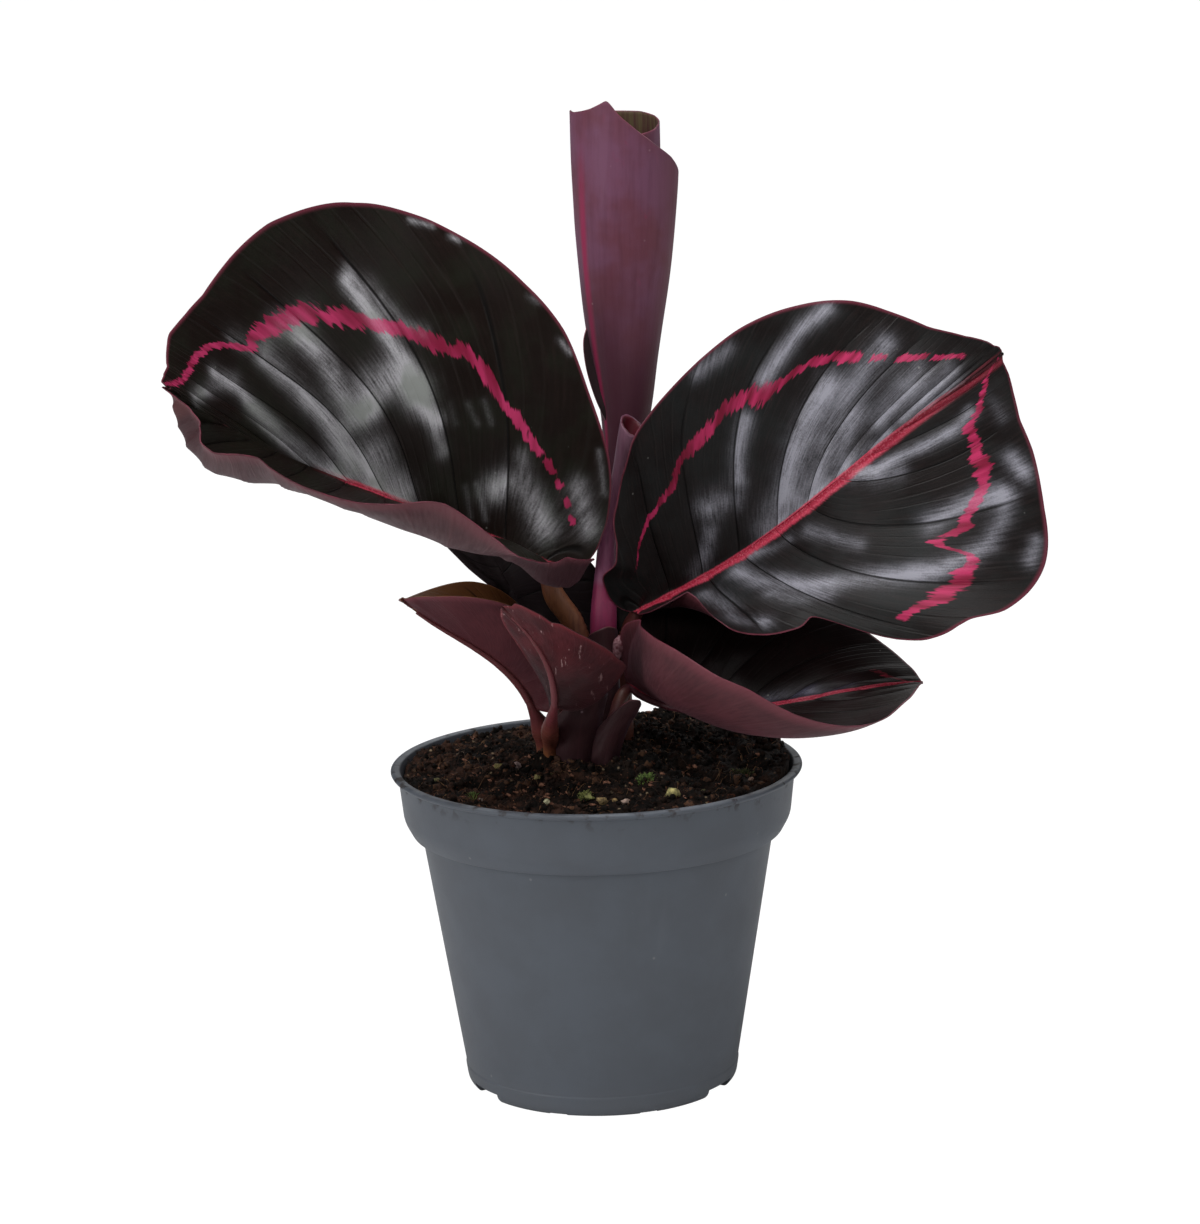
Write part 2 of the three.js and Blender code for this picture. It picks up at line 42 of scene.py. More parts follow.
tiny = 1e-12             # keeps lengths that may be nothing away from 0 where they divide
fullTurn = 2 * math.pi
print("frame loaded:", len(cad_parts), "nodes")


# Numbers and curves

def cell(u, count):
    # which of the count - 1 spans between evenly spaced rows u is in, and how far along it
    x = np.clip(u, 0, 1) * (count - 1)
    i = np.minimum(x.astype(int), count - 2)
    return i, x - i


def smoothLine(values, u):
    # a smooth line through evenly spaced values, read at u from 0 to 1
    values = np.asarray(values, float)
    i, f = cell(u, len(values))
    p0, p1 = values[np.maximum(i - 1, 0)], values[i]
    p2, p3 = values[i + 1], values[np.minimum(i + 2, len(values) - 1)]
    bend = 2 * p0 - 5 * p1 + 4 * p2 - p3
    turn = 3 * p1 - p0 - 3 * p2 + p3
    return 0.5 * (2 * p1 + (p2 - p0) * f + bend * f ** 2 + turn * f ** 3)


def bow(values, u):
    # a parabola through three values at 0, 0.5 and 1
    a, b, c = values
    return a * (1 - u) * (1 - 2 * u) + b * 4 * u * (1 - u) + c * u * (2 * u - 1)


def ease(s):
    return s * s * (3 - 2 * s)


def step(low, high, x):
    return ease(np.clip((x - low) / (high - low), 0, 1))


def hump(x, middle, spread):
    return np.exp(-(((x - middle) / spread) ** 2))


def between(rows, u):
    i, f = cell(u, len(rows))
    return rows[i] * (1 - f[..., None]) + rows[i + 1] * f[..., None]


def lengthOf(vectors):
    return np.linalg.norm(vectors, axis=-1, keepdims=True)


def flowingLine(points, u):
    # a centripetal curve through the points, the same as the solids' stems follow
    points = np.asarray(points, float)
    ends = np.vstack([2 * points[0] - points[1], points, 2 * points[-1] - points[-2]])
    i, w = cell(u, len(points))
    w = w[..., None]
    p0, p1, p2, p3 = ends[i], ends[i + 1], ends[i + 2], ends[i + 3]
    gap0, gap1, gap2 = (np.sqrt(lengthOf(span)) for span in (p1 - p0, p2 - p1, p3 - p2))
    leave = ((p1 - p0) / gap0 - (p2 - p0) / (gap0 + gap1) + (p2 - p1) / gap1) * gap1
    reach = ((p2 - p1) / gap1 - (p3 - p1) / (gap1 + gap2) + (p3 - p2) / gap2) * gap1
    c2 = 3 * (p2 - p1) - 2 * leave - reach
    c3 = 2 * (p1 - p2) + leave + reach
    return p1 + leave * w + c2 * w ** 2 + c3 * w ** 3


def cloudNoise(x, y, seed, octaves=3):
    # smooth noise from -1 to 1, with finer and weaker copies of itself
    total = np.zeros(np.broadcast(x, y).shape)
    size = 64
    for octave in range(octaves):
        table = np.random.default_rng(seed + octave).uniform(-1, 1, (size, size))
        px, py = x * 2 ** octave, y * 2 ** octave
        ix, iy = np.floor(px).astype(int), np.floor(py).astype(int)
        fx, fy = ease(px - ix), ease(py - iy)
        corner = [table[(ix + a) % size, (iy + b) % size] for a, b in ((0, 0), (1, 0), (0, 1), (1, 1))]
        low = corner[0] * (1 - fx) + corner[1] * fx
        high = corner[2] * (1 - fx) + corner[3] * fx
        total += (low * (1 - fy) + high * fy) * 0.5 ** octave
    return total


# Meshes

def makeMesh(name, points, faces, materials, faceSlots=None, marks=None):
    mesh = bpy.data.meshes.new(name)
    mesh.from_pydata((np.asarray(points) * mm).tolist(), [], faces)
    for material in materials:
        mesh.materials.append(material)
    if faceSlots is not None:
        mesh.polygons.foreach_set("material_index", np.asarray(faceSlots, np.int32))
    for label, values in (marks or {}).items():
        layer = mesh.attributes.new(label, "FLOAT", "POINT")
        layer.data.foreach_set("value", np.asarray(values, np.float32).ravel())
    mesh.polygons.foreach_set("use_smooth", [True] * len(mesh.polygons))
    mesh.update()
    piece = bpy.data.objects.new(name, mesh)
    bpy.context.collection.objects.link(piece)
    return piece


def makeSolid(*given):
    # a mesh whose faces are then all turned outward
    piece = makeMesh(*given)
    shape = bmesh.new()
    shape.from_mesh(piece.data)
    bmesh.ops.recalc_face_normals(shape, faces=shape.faces)
    shape.to_mesh(piece.data)
    shape.free()
    return piece


def seat(piece, node=None):
    # hides the part that the piece stands in for and attaches the piece to the body that it moves with
    if node:
        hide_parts(node)
    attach(piece, "root")


def gridNormals(middle):
    normal = np.cross(np.gradient(middle, axis=0), np.gradient(middle, axis=1))
    return normal / np.maximum(lengthOf(normal), tiny)


def raised(middle, height):
    return middle + gridNormals(middle) * height[..., None]


def sheetSolid(name, middle, thickness, materials, marks):
    # a closed sheet round a grid of points: front, back and a rounded rim, each with its own material
    rimSwell = 0.8           # how far the rim stands out, in half thicknesses
    rows, columns = middle.shape[:2]
    count = rows * columns
    normal = gridNormals(middle).reshape(-1, 3)
    inner = middle.reshape(-1, 3)
    half = np.broadcast_to(np.asarray(thickness, float), (rows, columns)).reshape(-1, 1) / 2
    index = np.arange(count).reshape(rows, columns)
    loop = np.concatenate([index[0, :-1], index[:-1, -1], index[-1, :0:-1], index[:0:-1, 0]])
    side = np.roll(inner[loop], -1, 0) - np.roll(inner[loop], 1, 0)
    outward = np.cross(side, normal[loop])
    outward /= np.maximum(lengthOf(outward), tiny)
    inside = inner[index[rows // 2, columns // 2]]
    if np.sum((outward * (inner[loop] - inside)).sum(-1)) < 0:
        outward = -outward
    rim = inner[loop] + outward * half[loop] * rimSwell
    quads = np.stack([index[:-1, :-1], index[1:, :-1], index[1:, 1:], index[:-1, 1:]], -1).reshape(-1, 4)
    after = np.roll(loop, -1)
    edge = 2 * count + np.arange(len(loop))
    edgeAfter = np.roll(edge, -1)
    faces = np.vstack([
        quads,
        quads[:, ::-1] + count,
        np.stack([loop, after, edgeAfter, edge], -1),
        np.stack([edge, edgeAfter, after + count, loop + count], -1),
    ])
    slots = np.repeat([0, 1, 2], [len(quads), len(quads), 2 * len(loop)])
    carried = {}
    for label, values in marks.items():
        flat = np.broadcast_to(values, (rows, columns)).ravel()
        carried[label] = np.concatenate([flat, flat, flat[loop]])
    points = np.vstack([inner + normal * half, inner - normal * half, rim])
    return makeSolid(name, points, faces.tolist(), materials, slots, carried)


def ringSolid(name, rings, low, high, materials, marks=None):
    # closed rings of points one after another, with a point that closes them at either end
    count, sides = rings.shape[:2]
    index = np.arange(count * sides).reshape(count, sides)
    turn = np.roll(index, -1, 1)
    faces = np.stack([index[:-1], turn[:-1], turn[1:], index[1:]], -1).reshape(-1, 4).tolist()
    faces += [[count * sides, turn[0, k], index[0, k]] for k in range(sides)]
    faces += [[count * sides + 1, index[-1, k], turn[-1, k]] for k in range(sides)]
    carried = {}
    for label, values in (marks or {}).items():
        grid = np.broadcast_to(values, (count, sides)).ravel()
        carried[label] = np.append(grid, [grid[0], grid[-1]])
    return makeSolid(name, np.vstack([rings.reshape(-1, 3), low, high]), faces, materials, None, carried)


def tubeFrames(centre):
    # directions across a line of points that turn with it and don't twist
    along = np.gradient(centre, axis=0)
    along /= lengthOf(along)
    guess = np.array([0.0, -1.0, 0.2])
    across = [guess]
    for direction in along:
        turned = across[-1] - direction * (across[-1] @ direction)
        across.append(turned / np.linalg.norm(turned))
    across = np.array(across[1:])
    return along, across, np.cross(along, across)


def ringsRound(across, up, size, angle):
    # for each place along a line, a ring of the given size across it
    sideways, upward = (size * np.cos(angle))[..., None], (size * np.sin(angle))[..., None]
    return across[:, None] * sideways + up[:, None] * upward


def tubeSolid(name, centre, radius, materials, sides=20, marks=None):
    # a round stem along a line of points, closed with a low dome at both ends
    dome = 0.35              # its height in radii
    angle = np.linspace(0, fullTurn, sides, endpoint=False)
    along, across, up = tubeFrames(centre)
    rings = centre[:, None] + ringsRound(across, up, radius[:, None], angle)
    low, high = (centre[k] + way * along[k] * radius[k] * dome for k, way in ((0, -1), (-1, 1)))
    carried = {label: values[:, None] for label, values in (marks or {}).items()}
    return ringSolid(name, rings, low, high, materials, carried)


# Shader helpers

def tint(red, green, blue):
    # an sRGB colour, 0 to 255, as a shader's linear colour
    part = [c / 255 for c in (red, green, blue)]
    return tuple(c / 12.92 if c < 0.04045 else ((c + 0.055) / 1.055) ** 2.4 for c in part) + (1.0,)


def isSocket(value):
    return isinstance(value, bpy.types.NodeSocket)


def feed(socket, value):
    # another node's output is linked to the socket, anything else is its own value
    if isSocket(value):
        socket.id_data.links.new(value, socket)
    else:
        socket.default_value = value


def put(tree, kind, inputs=None, **settings):
    node = tree.nodes.new("ShaderNode" + kind)
    for label, value in settings.items():
        setattr(node, label, value)
    for label, value in (inputs or {}).items():
        feed(node.inputs[label], value)
    return node


def calc(operation, *values):
    tree = next(value.id_data for value in values if isSocket(value))
    return put(tree, "Math", dict(enumerate(values)), operation=operation).outputs[0]


def times(first, *others):
    for other in others:
        first = calc("MULTIPLY", first, other)
    return first


def plus(first, *others):
    for other in others:
        first = calc("ADD", first, other)
    return first


def minus(first, second):
    return calc("SUBTRACT", first, second)


def stray(noise, size):
    # noise from 0 to 1 as so much to either side of 0
    return times(minus(noise, 0.5), size)


def fade(value, low, high, start=0.0, end=1.0):
    values = {"Value": value, "From Min": low, "From Max": high, "To Min": start, "To Max": end}
    return put(value.id_data, "MapRange", values, interpolation_type="SMOOTHSTEP").outputs[0]


def mixed(mask, first, second):
    node = put(mask.id_data, "Mix", {0: mask}, data_type="RGBA")
    for socket, colour in ((node.inputs[6], first), (node.inputs[7], second)):
        feed(socket, colour if isSocket(colour) else tint(*colour))
    return node.outputs[2]


def layered(colour, *layers):
    # one colour after another laid over the first, each through its mask
    for mask, other in layers:
        colour = mixed(mask, colour, other)
    return colour


def mark(tree, label):
    return put(tree, "Attribute", attribute_name=label).outputs["Fac"]


def noiseOf(vector, scale, detail=2.0, roughness=0.5):
    values = {"Vector": vector, "Scale": scale, "Detail": detail, "Roughness": roughness}
    return put(vector.id_data, "TexNoise", values).outputs["Fac"]


def noiseOver(x, y, detail=2.0, roughness=0.5):
    # noise over two values in place of a place
    return noiseOf(put(x.id_data, "CombineXYZ", {"X": x, "Y": y}).outputs[0], 1.0, detail, roughness)


def grooves(spot, scale, turn=(0.0, 0.0, 0.0)):
    # noise drawn out along one way
    drawn = put(spot.id_data, "Mapping", {"Vector": spot, "Rotation": turn, "Scale": scale})
    return noiseOf(drawn.outputs[0], 1.0, 3.0, 0.6)


def partOf(spot, axis):
    return put(spot.id_data, "SeparateXYZ", {"Vector": spot}).outputs[axis]


def newMaterial(name, constants):
    # a material, its node tree and the inputs of its Principled shader
    material = bpy.data.materials.new(name)
    material.use_nodes = True
    tree = material.node_tree
    tree.nodes.clear()
    shader = put(tree, "BsdfPrincipled", constants)
    put(tree, "OutputMaterial", {"Surface": shader.outputs["BSDF"]})
    return material, tree, shader.inputs


def place(tree):
    return put(tree, "TexCoord").outputs["Object"]


def newGroup(name, inputs, outputs):
    group = bpy.data.node_groups.new(name, "ShaderNodeTree")
    for label, value in inputs.items():
        kind = "NodeSocketVector" if isinstance(value, tuple) else "NodeSocketFloat"
        group.interface.new_socket(label, in_out="INPUT", socket_type=kind).default_value = value
    for label in outputs:
        group.interface.new_socket(label, in_out="OUTPUT", socket_type="NodeSocketFloat")
    given = group.nodes.new("NodeGroupInput").outputs
    return group, [given[label] for label in inputs], group.nodes.new("NodeGroupOutput").inputs


def useGroup(group, tree, *values):
    # the group placed in a tree, its inputs fed in their own order
    node = tree.nodes.new("ShaderNodeGroup")
    node.node_tree = group
    for socket, value in zip(node.inputs, values):
        feed(socket, value)
    return node.outputs


# Effects that several materials share

def makeGrain():
    # fine grain, broad mottling and rare small specks over any surface
    inputs = {"Place": (0.0, 0.0, 0.0), "Scale": 900.0, "Specks": 0.1}
    group, (spot, scale, specks), out = newGroup("fineGrain", inputs, ["Grain", "Mottle", "Speck"])
    feed(out["Grain"], noiseOf(spot, scale))
    feed(out["Mottle"], noiseOf(spot, 60.0, 3.0, 0.6))
    cells = put(group, "TexVoronoi", {"Vector": spot, "Scale": times(scale, 0.35)}).outputs
    chance = put(group, "SeparateColor", {"Color": cells["Color"]}).outputs[0]
    near = fade(cells["Distance"], 0.1, 0.32, 1.0, 0.0)
    feed(out["Speck"], times(near, calc("LESS_THAN", chance, specks)))
    return group


def makeVeins():
    # fine side veins: each starts at Start on the midrib and runs outward with Out
    inputs = {"Start": 0.0, "Out": 0.0, "Count": 40.0}
    group, (start, reach, count), out = newGroup("sideVeins", inputs, ["Height", "Streak", "Line"])
    run = times(start, count)
    bent = plus(run, times(noiseOver(times(run, 0.37), times(reach, 1.6)), 1.3))
    which = put(group, "TexWhiteNoise", {"W": calc("FLOOR", plus(bent, 0.5))}, noise_dimensions="1D")
    line = times(fade(calc("PINGPONG", bent, 0.5), 0.02, 0.13, 1.0, 0.0),
                 fade(which.outputs["Value"], 0.1, 0.9, 0.15, 1.0))
    streak = noiseOver(times(run, 5.0), times(reach, 9.0), 3.0, 0.6)
    feed(out["Height"], minus(times(streak, 0.35), line))
    feed(out["Streak"], streak)
    feed(out["Line"], line)
    return group


def makeRing():
    # a painted band with edges broken into strokes along the veins; Offset is 0 on it and 1 at its edge
    inputs = {"Offset": 3.0, "Strength": 1.0, "Start": 0.0, "Out": 0.0, "Strokes": 160.0}
    group, (offset, strength, start, reach, strokes), out = newGroup("paintedRing", inputs, ["Mask", "Tone"])
    run = times(start, strokes)
    sway = noiseOver(times(run, 0.3), times(reach, 4.0), 1.0)
    fray = noiseOver(run, times(reach, 14.0), 2.0, 0.6)
    near = calc("ABSOLUTE", plus(offset, stray(sway, 1.7), stray(fray, 2.4)))
    kept = fade(plus(strength, stray(fray, 0.8)), 0.4, 0.55)
    feed(out["Mask"], times(fade(near, 0.6, 1.0, 1.0, 0.0), kept))
    feed(out["Tone"], fade(sway, 0.3, 0.7))
    return group


fineGrain = makeGrain()
sideVeins = makeVeins()
paintedRing = makeRing()
print("shared effects ready")


def grained(name, constants, scale=1500.0, specks=0.006):
    # a new material with the shared grain in it
    material, tree, surface = newMaterial(name, constants)
    return material, tree, surface, useGroup(fineGrain, tree, place(tree), scale, specks)


def dress(surface, colour, roughness, relief, strength, deep=0.0002):
    # what the surface shows, how rough it is and how its relief of so many metres catches the light
    bump = put(colour.id_data, "Bump", {"Strength": strength, "Distance": deep, "Height": relief})
    feed(surface["Base Color"], colour)
    feed(surface["Roughness"], roughness)
    feed(surface["Normal"], bump.outputs[0])


# Camera and studio

photoView = {
    "lens": 120,             # on a sensor of 36 mm along the picture's long side
    "sensor": 36,
    "farthest": 50,          # metres
    "target": (2, 0, 140),
    "distance": 1180,
    "elevation": 12.1,       # degrees above the horizon
    "roll": 1.2,
}


def addObject(name, data):
    thing = bpy.data.objects.new(name, data)
    bpy.context.collection.objects.link(thing)
    return thing


def makeCamera(look):
    climb, roll = math.radians(look["elevation"]), math.radians(look["roll"])
    right = Vector((1, 0, 0))
    up = Vector((0, math.sin(climb), math.cos(climb)))
    back = Vector((0, -math.cos(climb), math.sin(climb)))
    across = right * math.cos(roll) - up * math.sin(roll)
    upward = right * math.sin(roll) + up * math.cos(roll)
    data = bpy.data.cameras.new("photoCamera")
    data.lens, data.sensor_width, data.clip_end = look["lens"], look["sensor"], look["farthest"]
    camera = addObject("photoCamera", data)
    turn = Matrix((across, upward, back)).transposed().to_4x4()
    spot = (Vector(look["target"]) + back * look["distance"]) * mm
    camera.matrix_world = Matrix.Translation(spot) @ turn
    bpy.context.scene.camera = camera


studio = {
    "floorSize": 24000,
    "floorTints": ((243, 243, 243), (239, 240, 241)),
    "floorGlow": 0.88,       # how much of the floor's look is its own even white
    "floorPower": 1.13,      # how bright that white is
    "backdrop": 1.0,         # what the camera sees behind the floor
    "roomGlow": 0.2,         # what lights the plant from all round
    "roomMirror": 0.05,      # what its gloss mirrors where no lamp stands
    "boxes": [               # name, place, size, power in watts
        ("topBox", (-250, -350, 1300), (900, 700), 10.5),
        ("leftBox", (-1150, -800, 500), (420, 900), 6.9),
        ("rightBox", (1050, -420, 650), (380, 900), 2.2),
        ("frontBox", (150, -1500, 900), (700, 300), 2.4),
        ("backBox", (350, 1300, 900), (1200, 700), 4),
    ],
    "aim": (0, 0, 150),
}


def makeStudio(look):
    side = look["floorSize"] / 2
    white = (1.0, 1.0, 1.0, 1.0)
    floorMaterial, tree, surface = newMaterial("paleFloor", {"Roughness": 0.9, "Specular IOR Level": 0.1})
    feed(surface["Base Color"], mixed(noiseOf(place(tree), 3.0), *look["floorTints"]))
    even = put(tree, "Emission", {"Color": white, "Strength": look["floorPower"]})
    share = times(put(tree, "LightPath").outputs["Is Camera Ray"], look["floorGlow"])
    lit = surface["Base Color"].node.outputs["BSDF"]
    both = put(tree, "MixShader", {0: share, 1: lit, 2: even.outputs[0]})
    finish = next(node for node in tree.nodes if node.bl_idname == "ShaderNodeOutputMaterial")
    feed(finish.inputs["Surface"], both.outputs[0])
    corners = [(-side, -side, 0), (side, -side, 0), (side, side, 0), (-side, side, 0)]
    floor = makeMesh("studioFloor", corners, [(0, 1, 2, 3)], [floorMaterial])
    for name, spot, size, power in look["boxes"]:
        data = bpy.data.lights.new(name, "AREA")
        data.shape = "RECTANGLE"
        data.size, data.size_y = size[0] * mm, size[1] * mm
        data.energy = power
        box = addObject(name, data)
        box.location = Vector(spot) * mm
        box.rotation_euler = ((Vector(look["aim"]) - Vector(spot)) * mm).to_track_quat("-Z", "Y").to_euler()
    world = bpy.data.worlds.new("studioRoom")
    bpy.context.scene.world = world
    world.use_nodes = True
    tree = world.node_tree
    tree.nodes.clear()
    path = put(tree, "LightPath").outputs
    seen = times(path["Is Camera Ray"], look["backdrop"] - look["roomGlow"])
    mirrored = times(path["Is Glossy Ray"], look["roomMirror"] - look["roomGlow"])
    room = put(tree, "Background", {"Color": white, "Strength": plus(seen, mirrored, look["roomGlow"])})
    put(tree, "OutputWorld", {"Surface": room.outputs[0]})
    bpy.context.scene.view_settings.view_transform = "Standard"


makeCamera(photoView)
makeStudio(studio)
print("camera and studio ready")


# The pot

potLook = {
    # radius, height and rounding of each corner, from the middle of the foot up outside and down inside
    "outline": [
        (10, 0, 0.3), (10.8, 2.8, 0.5), (32.5, 2.8, 0.4), (33, 0, 0.3), (38.2, 0, 0.7), (39.7, 1.6, 1.2),
        (40.35, 5.9, 0.5), (40.15, 6.3, 0.3), (51.4, 76.1, 0.2), (54.1, 76.2, 0.35), (56.4, 80.4, 1.6),
        (57.75, 93.2, 0.5), (59.5, 93.6, 0.4), (60, 94.4, 0.5), (59.3, 95.2, 0.6), (57.2, 94.95, 0.5),
        (56.6, 92.8, 0.8), (55.2, 81, 1.5), (52.8, 76.8, 1.0), (50.4, 75.4, 0.6), (39.1, 6.5, 1.0),
        (37.1, 4.2, 0.8),
    ],
    "floorTop": 4.2,
    "segments": 192,
    "wobble": 0.12 / 60,     # how far it is out of round, in parts of the radius
    "channels": {"angles": (-110, -70, 10, 50, 130, 170), "from": 31, "to": 42, "width": 5.5, "top": 0.5},
    "gaps": {"angles": (-150, -30, 90), "from": 31, "to": 43, "width": 13, "top": 2.8},
    "drains": [(29, (-150, -30, 90)), (20, (-90, 30, 150))],
    "drainRadius": 3.2,
    "sharpFrom": 38,         # degrees between two faces
    "plain": (81, 86, 94),
    "warm": (78, 82, 89),
    "worn": (98, 103, 110),
    "lip": (126, 132, 140),
    "dirt": (46, 34, 28),
    "dust": (118, 118, 118),
    "speck": (122, 124, 126),
    "dirtRun": (0.088, 0.0953),      # heights in metres between which each of the three fades in
    # the lip's top edge is painted as a highlight between these heights
    "wornRun": (0.0945, 0.0951),
    "paleFootRun": (0.012, 0.0),
}


def roundedOutline(corners, steps=5):
    line = []
    most = 0.45              # the most of a side that a rounding takes
    for i, (r, z, rounding) in enumerate(corners):
        here = np.array([r, z])
        before = np.array(corners[max(i - 1, 0)][:2])
        after = np.array(corners[min(i + 1, len(corners) - 1)][:2])
        if i in (0, len(corners) - 1):
            line.append(here)
            continue
        sides = [end - here for end in (before, after)]
        a, b = (here + side * min(most, rounding / np.linalg.norm(side)) for side in sides)
        for s in np.linspace(0, 1, steps):
            line.append(a * (1 - s) ** 2 + here * 2 * s * (1 - s) + b * s ** 2)
    return np.array(line)


def circleGrid(radius, angle, height):
    return np.stack(np.broadcast_arrays(radius * np.cos(angle), radius * np.sin(angle), height), -1)


def turnedSolid(name, outline, lowAxis, highAxis, segments, materials, wobble):
    # a closed solid of revolution whose outline starts and ends on the axis
    angle = np.linspace(0, fullTurn, segments, endpoint=False)
    height = outline[:, 1:]
    uneven = cloudNoise(np.cos(angle) * 1.2 + 9, np.sin(angle) * 1.2 + 9 + height * 0.02, 5)
    radius = outline[:, :1] * (1 + wobble * uneven)
    rings = circleGrid(radius, angle, height)
    return ringSolid(name, rings, (0, 0, lowAxis), (0, 0, highAxis), materials)


def cutAway(piece, shapes):
    # takes the closed shapes in one bmesh away from the piece
    mesh = bpy.data.meshes.new("cutter")
    shapes.to_mesh(mesh)
    cutter = addObject("cutter", mesh)
    cut = piece.modifiers.new("cut", "BOOLEAN")
    cut.operation, cut.object, cut.solver, cut.use_self = "DIFFERENCE", cutter, "EXACT", True
    whole = bpy.data.meshes.new_from_object(piece.evaluated_get(bpy.context.evaluated_depsgraph_get()))
    piece.modifiers.clear()
    piece.data = whole
    bpy.data.objects.remove(cutter)


def bar(shapes, angle, near, far, width, top):
    turn = Matrix.Rotation(math.radians(angle), 4, "Z")
    size = Matrix.Diagonal(((far - near) * mm, width * mm, (top + 1) * mm, 1))
    move = Matrix.Translation(((near + far) / 2 * mm, 0, (top - 1) / 2 * mm))
    bmesh.ops.create_cube(shapes, size=1, matrix=turn @ move @ size)


def potMaterial(look):
    constants = {"Specular IOR Level": 0.35, "IOR": 1.48}
    material, tree, surface, grain = grained("nurseryPlastic", constants)
    spot = place(tree)
    height = partOf(spot, "Z")
    streak = grooves(spot, (120.0, 120.0, 9.0))
    dirt = times(fade(height, *look["dirtRun"]), fade(noiseOf(spot, 240.0, 4.0), 0.56, 0.68))
    # painted highlight: the lip's top edge drawn lighter, broken into patches
    worn = times(fade(height, *look["wornRun"]), fade(noiseOf(spot, 90.0, 4.0), 0.35, 0.6))
    colour = layered(
        mixed(fade(grain["Mottle"], 0.3, 0.7), look["plain"], look["warm"]),
        (fade(streak, 0.6, 0.85, 0.0, 0.16), look["worn"]),
        (times(worn, 0.6), look["lip"]),
        # lighter grey in mottled patches towards the foot
        (times(fade(height, *look["paleFootRun"], 0.0, 0.2), grain["Mottle"]), look["dust"]),
        (times(dirt, 0.75), look["dirt"]),
        (times(grain["Speck"], 0.5), look["speck"]),
    )
    gloss = plus(fade(grain["Mottle"], 0.2, 0.8, 0.5, 0.54), times(dirt, 0.25))
    dress(surface, colour, gloss, plus(grain["Grain"], times(streak, 0.7)), 0.18)
    return material


def makePot(look):
    outline = roundedOutline(look["outline"])
    skin = [potMaterial(look)]
    pot = turnedSolid("potShell", outline, 0, look["floorTop"], look["segments"], skin, look["wobble"])
    shapes = bmesh.new()
    for kind in (look["channels"], look["gaps"]):
        for angle in kind["angles"]:
            bar(shapes, angle, kind["from"], kind["to"], kind["width"], kind["top"])
    drain = look["drainRadius"] * mm
    for reach, angles in look["drains"]:
        for angle in angles:
            turn = Matrix.Rotation(math.radians(angle), 4, "Z") @ Matrix.Translation((reach * mm, 0, 4 * mm))
            bmesh.ops.create_cone(shapes, cap_ends=True, segments=32, radius1=drain, radius2=drain,
                                  depth=10 * mm, matrix=turn)
    cutAway(pot, shapes)
    pot.data.polygons.foreach_set("use_smooth", [True] * len(pot.data.polygons))
    pot.data.set_sharp_from_angle(angle=math.radians(look["sharpFrom"]))
    seat(pot, "pot")


makePot(potLook)
print("pot ready")


# The potting soil and what lies on it

soilLook = {
    "wall": [(56.1, 92), (55.0, 81.6), (52.3, 77.6), (50.0, 75.6), (38.7, 7), (36.5, 4.5)],
    "wallTop": 93.25, "crownHeight": 6.2, "crownSpread": 30, "tilt": 2.2, "clod": 0.7,
    # more of it heaped up in places: height, place, spread
    "heaps": [(1.5, (50, 12), (9, 22)), (3.2, (16, 22), (17, 15)), (4, (19, 40), (14, 9)),
              (2.3, (-48, 14), (15, 28))],
    "reach": (0.4, 56.2), "rings": 150, "sectors": 420,
    "dark": (10, 7, 5), "brown": (31, 20, 14), "rust": (92, 54, 38), "tuft": (84, 56, 44),
    "speck": (168, 146, 118),
    "crumbs": 2600, "crumbTones": ((88, 58, 38), (44, 28, 20)),
    "flecks": 900, "fleckTones": ((150, 106, 84), (84, 52, 40)),
    "fibres": 420,
    "fibreTones": {"darkFibre": ((58, 38, 28), (32, 22, 18)), "paleFibre": ((128, 96, 66), (70, 46, 32))},
    # pale chips and green bits: place, radius, colour
    "chips": [
        (21.5, -40.5, 2.3, (196, 184, 120)), (-2.2, -36.8, 1.5, (150, 152, 92)),
        (1.5, -39.6, 1.6, (176, 150, 104)), (5.4, -42.3, 1.3, (168, 138, 92)),
        (-14.1, -40.2, 1.2, (190, 186, 150)), (-23.2, -5.3, 1.7, (176, 150, 146)),
        (-28, -9, 1.3, (140, 128, 78)), (-39.6, 9, 1.2, (150, 128, 110)), (-17, -22, 1.1, (150, 140, 90)),
        (8, -46.6, 1.2, (186, 160, 146)), (36, -14, 0.8, (170, 160, 132)), (30, -33, 1.0, (120, 116, 70)),
        (-46, -14, 0.9, (130, 126, 84)), (44, -27, 0.9, (168, 138, 120)), (-33, -31, 0.9, (170, 150, 140)),
    ],
    # moss: place, spread, how many blades, colour
    "moss": [
        (14.1, -26.5, 2.6, 170, (122, 148, 74)), (-3.4, -35.2, 1.9, 120, (150, 156, 88)),
        (-35.3, -28.7, 1.3, 60, (122, 146, 74)), (41, -19, 3.4, 120, (78, 84, 38)),
        (24.5, -29, 1.2, 40, (104, 104, 56)), (-12, -17, 1.6, 50, (70, 66, 34)),
    ],
}


def heap(x, y, middle, spread):
    return np.exp(-(((x - middle[0]) / spread[0]) ** 2 + ((y - middle[1]) / spread[1]) ** 2))


def soilTop(look, x, y):
    r = np.hypot(x, y)
    crown = look["crownHeight"] * hump(r, 0, look["crownSpread"])
    clods = np.sin(x * 0.31 + y * 0.17) + np.sin(y * 0.37 - x * 0.11 + 1.3) + 0.6 * np.sin((x + y) * 0.5)
    calm = np.minimum(1, (56 - r) / 10 + 0.15)       # clods die away towards the pot's wall
    plain = look["wallTop"] + crown + look["tilt"] * (x + 0.3 * y) / 55 + look["clod"] * clods * calm
    soft = cloudNoise(x * 0.23 + 20, y * 0.23 + 20, 11, 2)
    rough = np.abs(cloudNoise(x * 0.7 + 9, y * 0.7, 31, 3))
    heaped = sum(height * heap(x, y, middle, spread) for height, middle, spread in look["heaps"])
    return plain + 0.75 * soft + 0.95 * rough + heaped


def soilAt(look, x, y):
    return float(soilTop(look, np.array([x]), np.array([y]))[0])


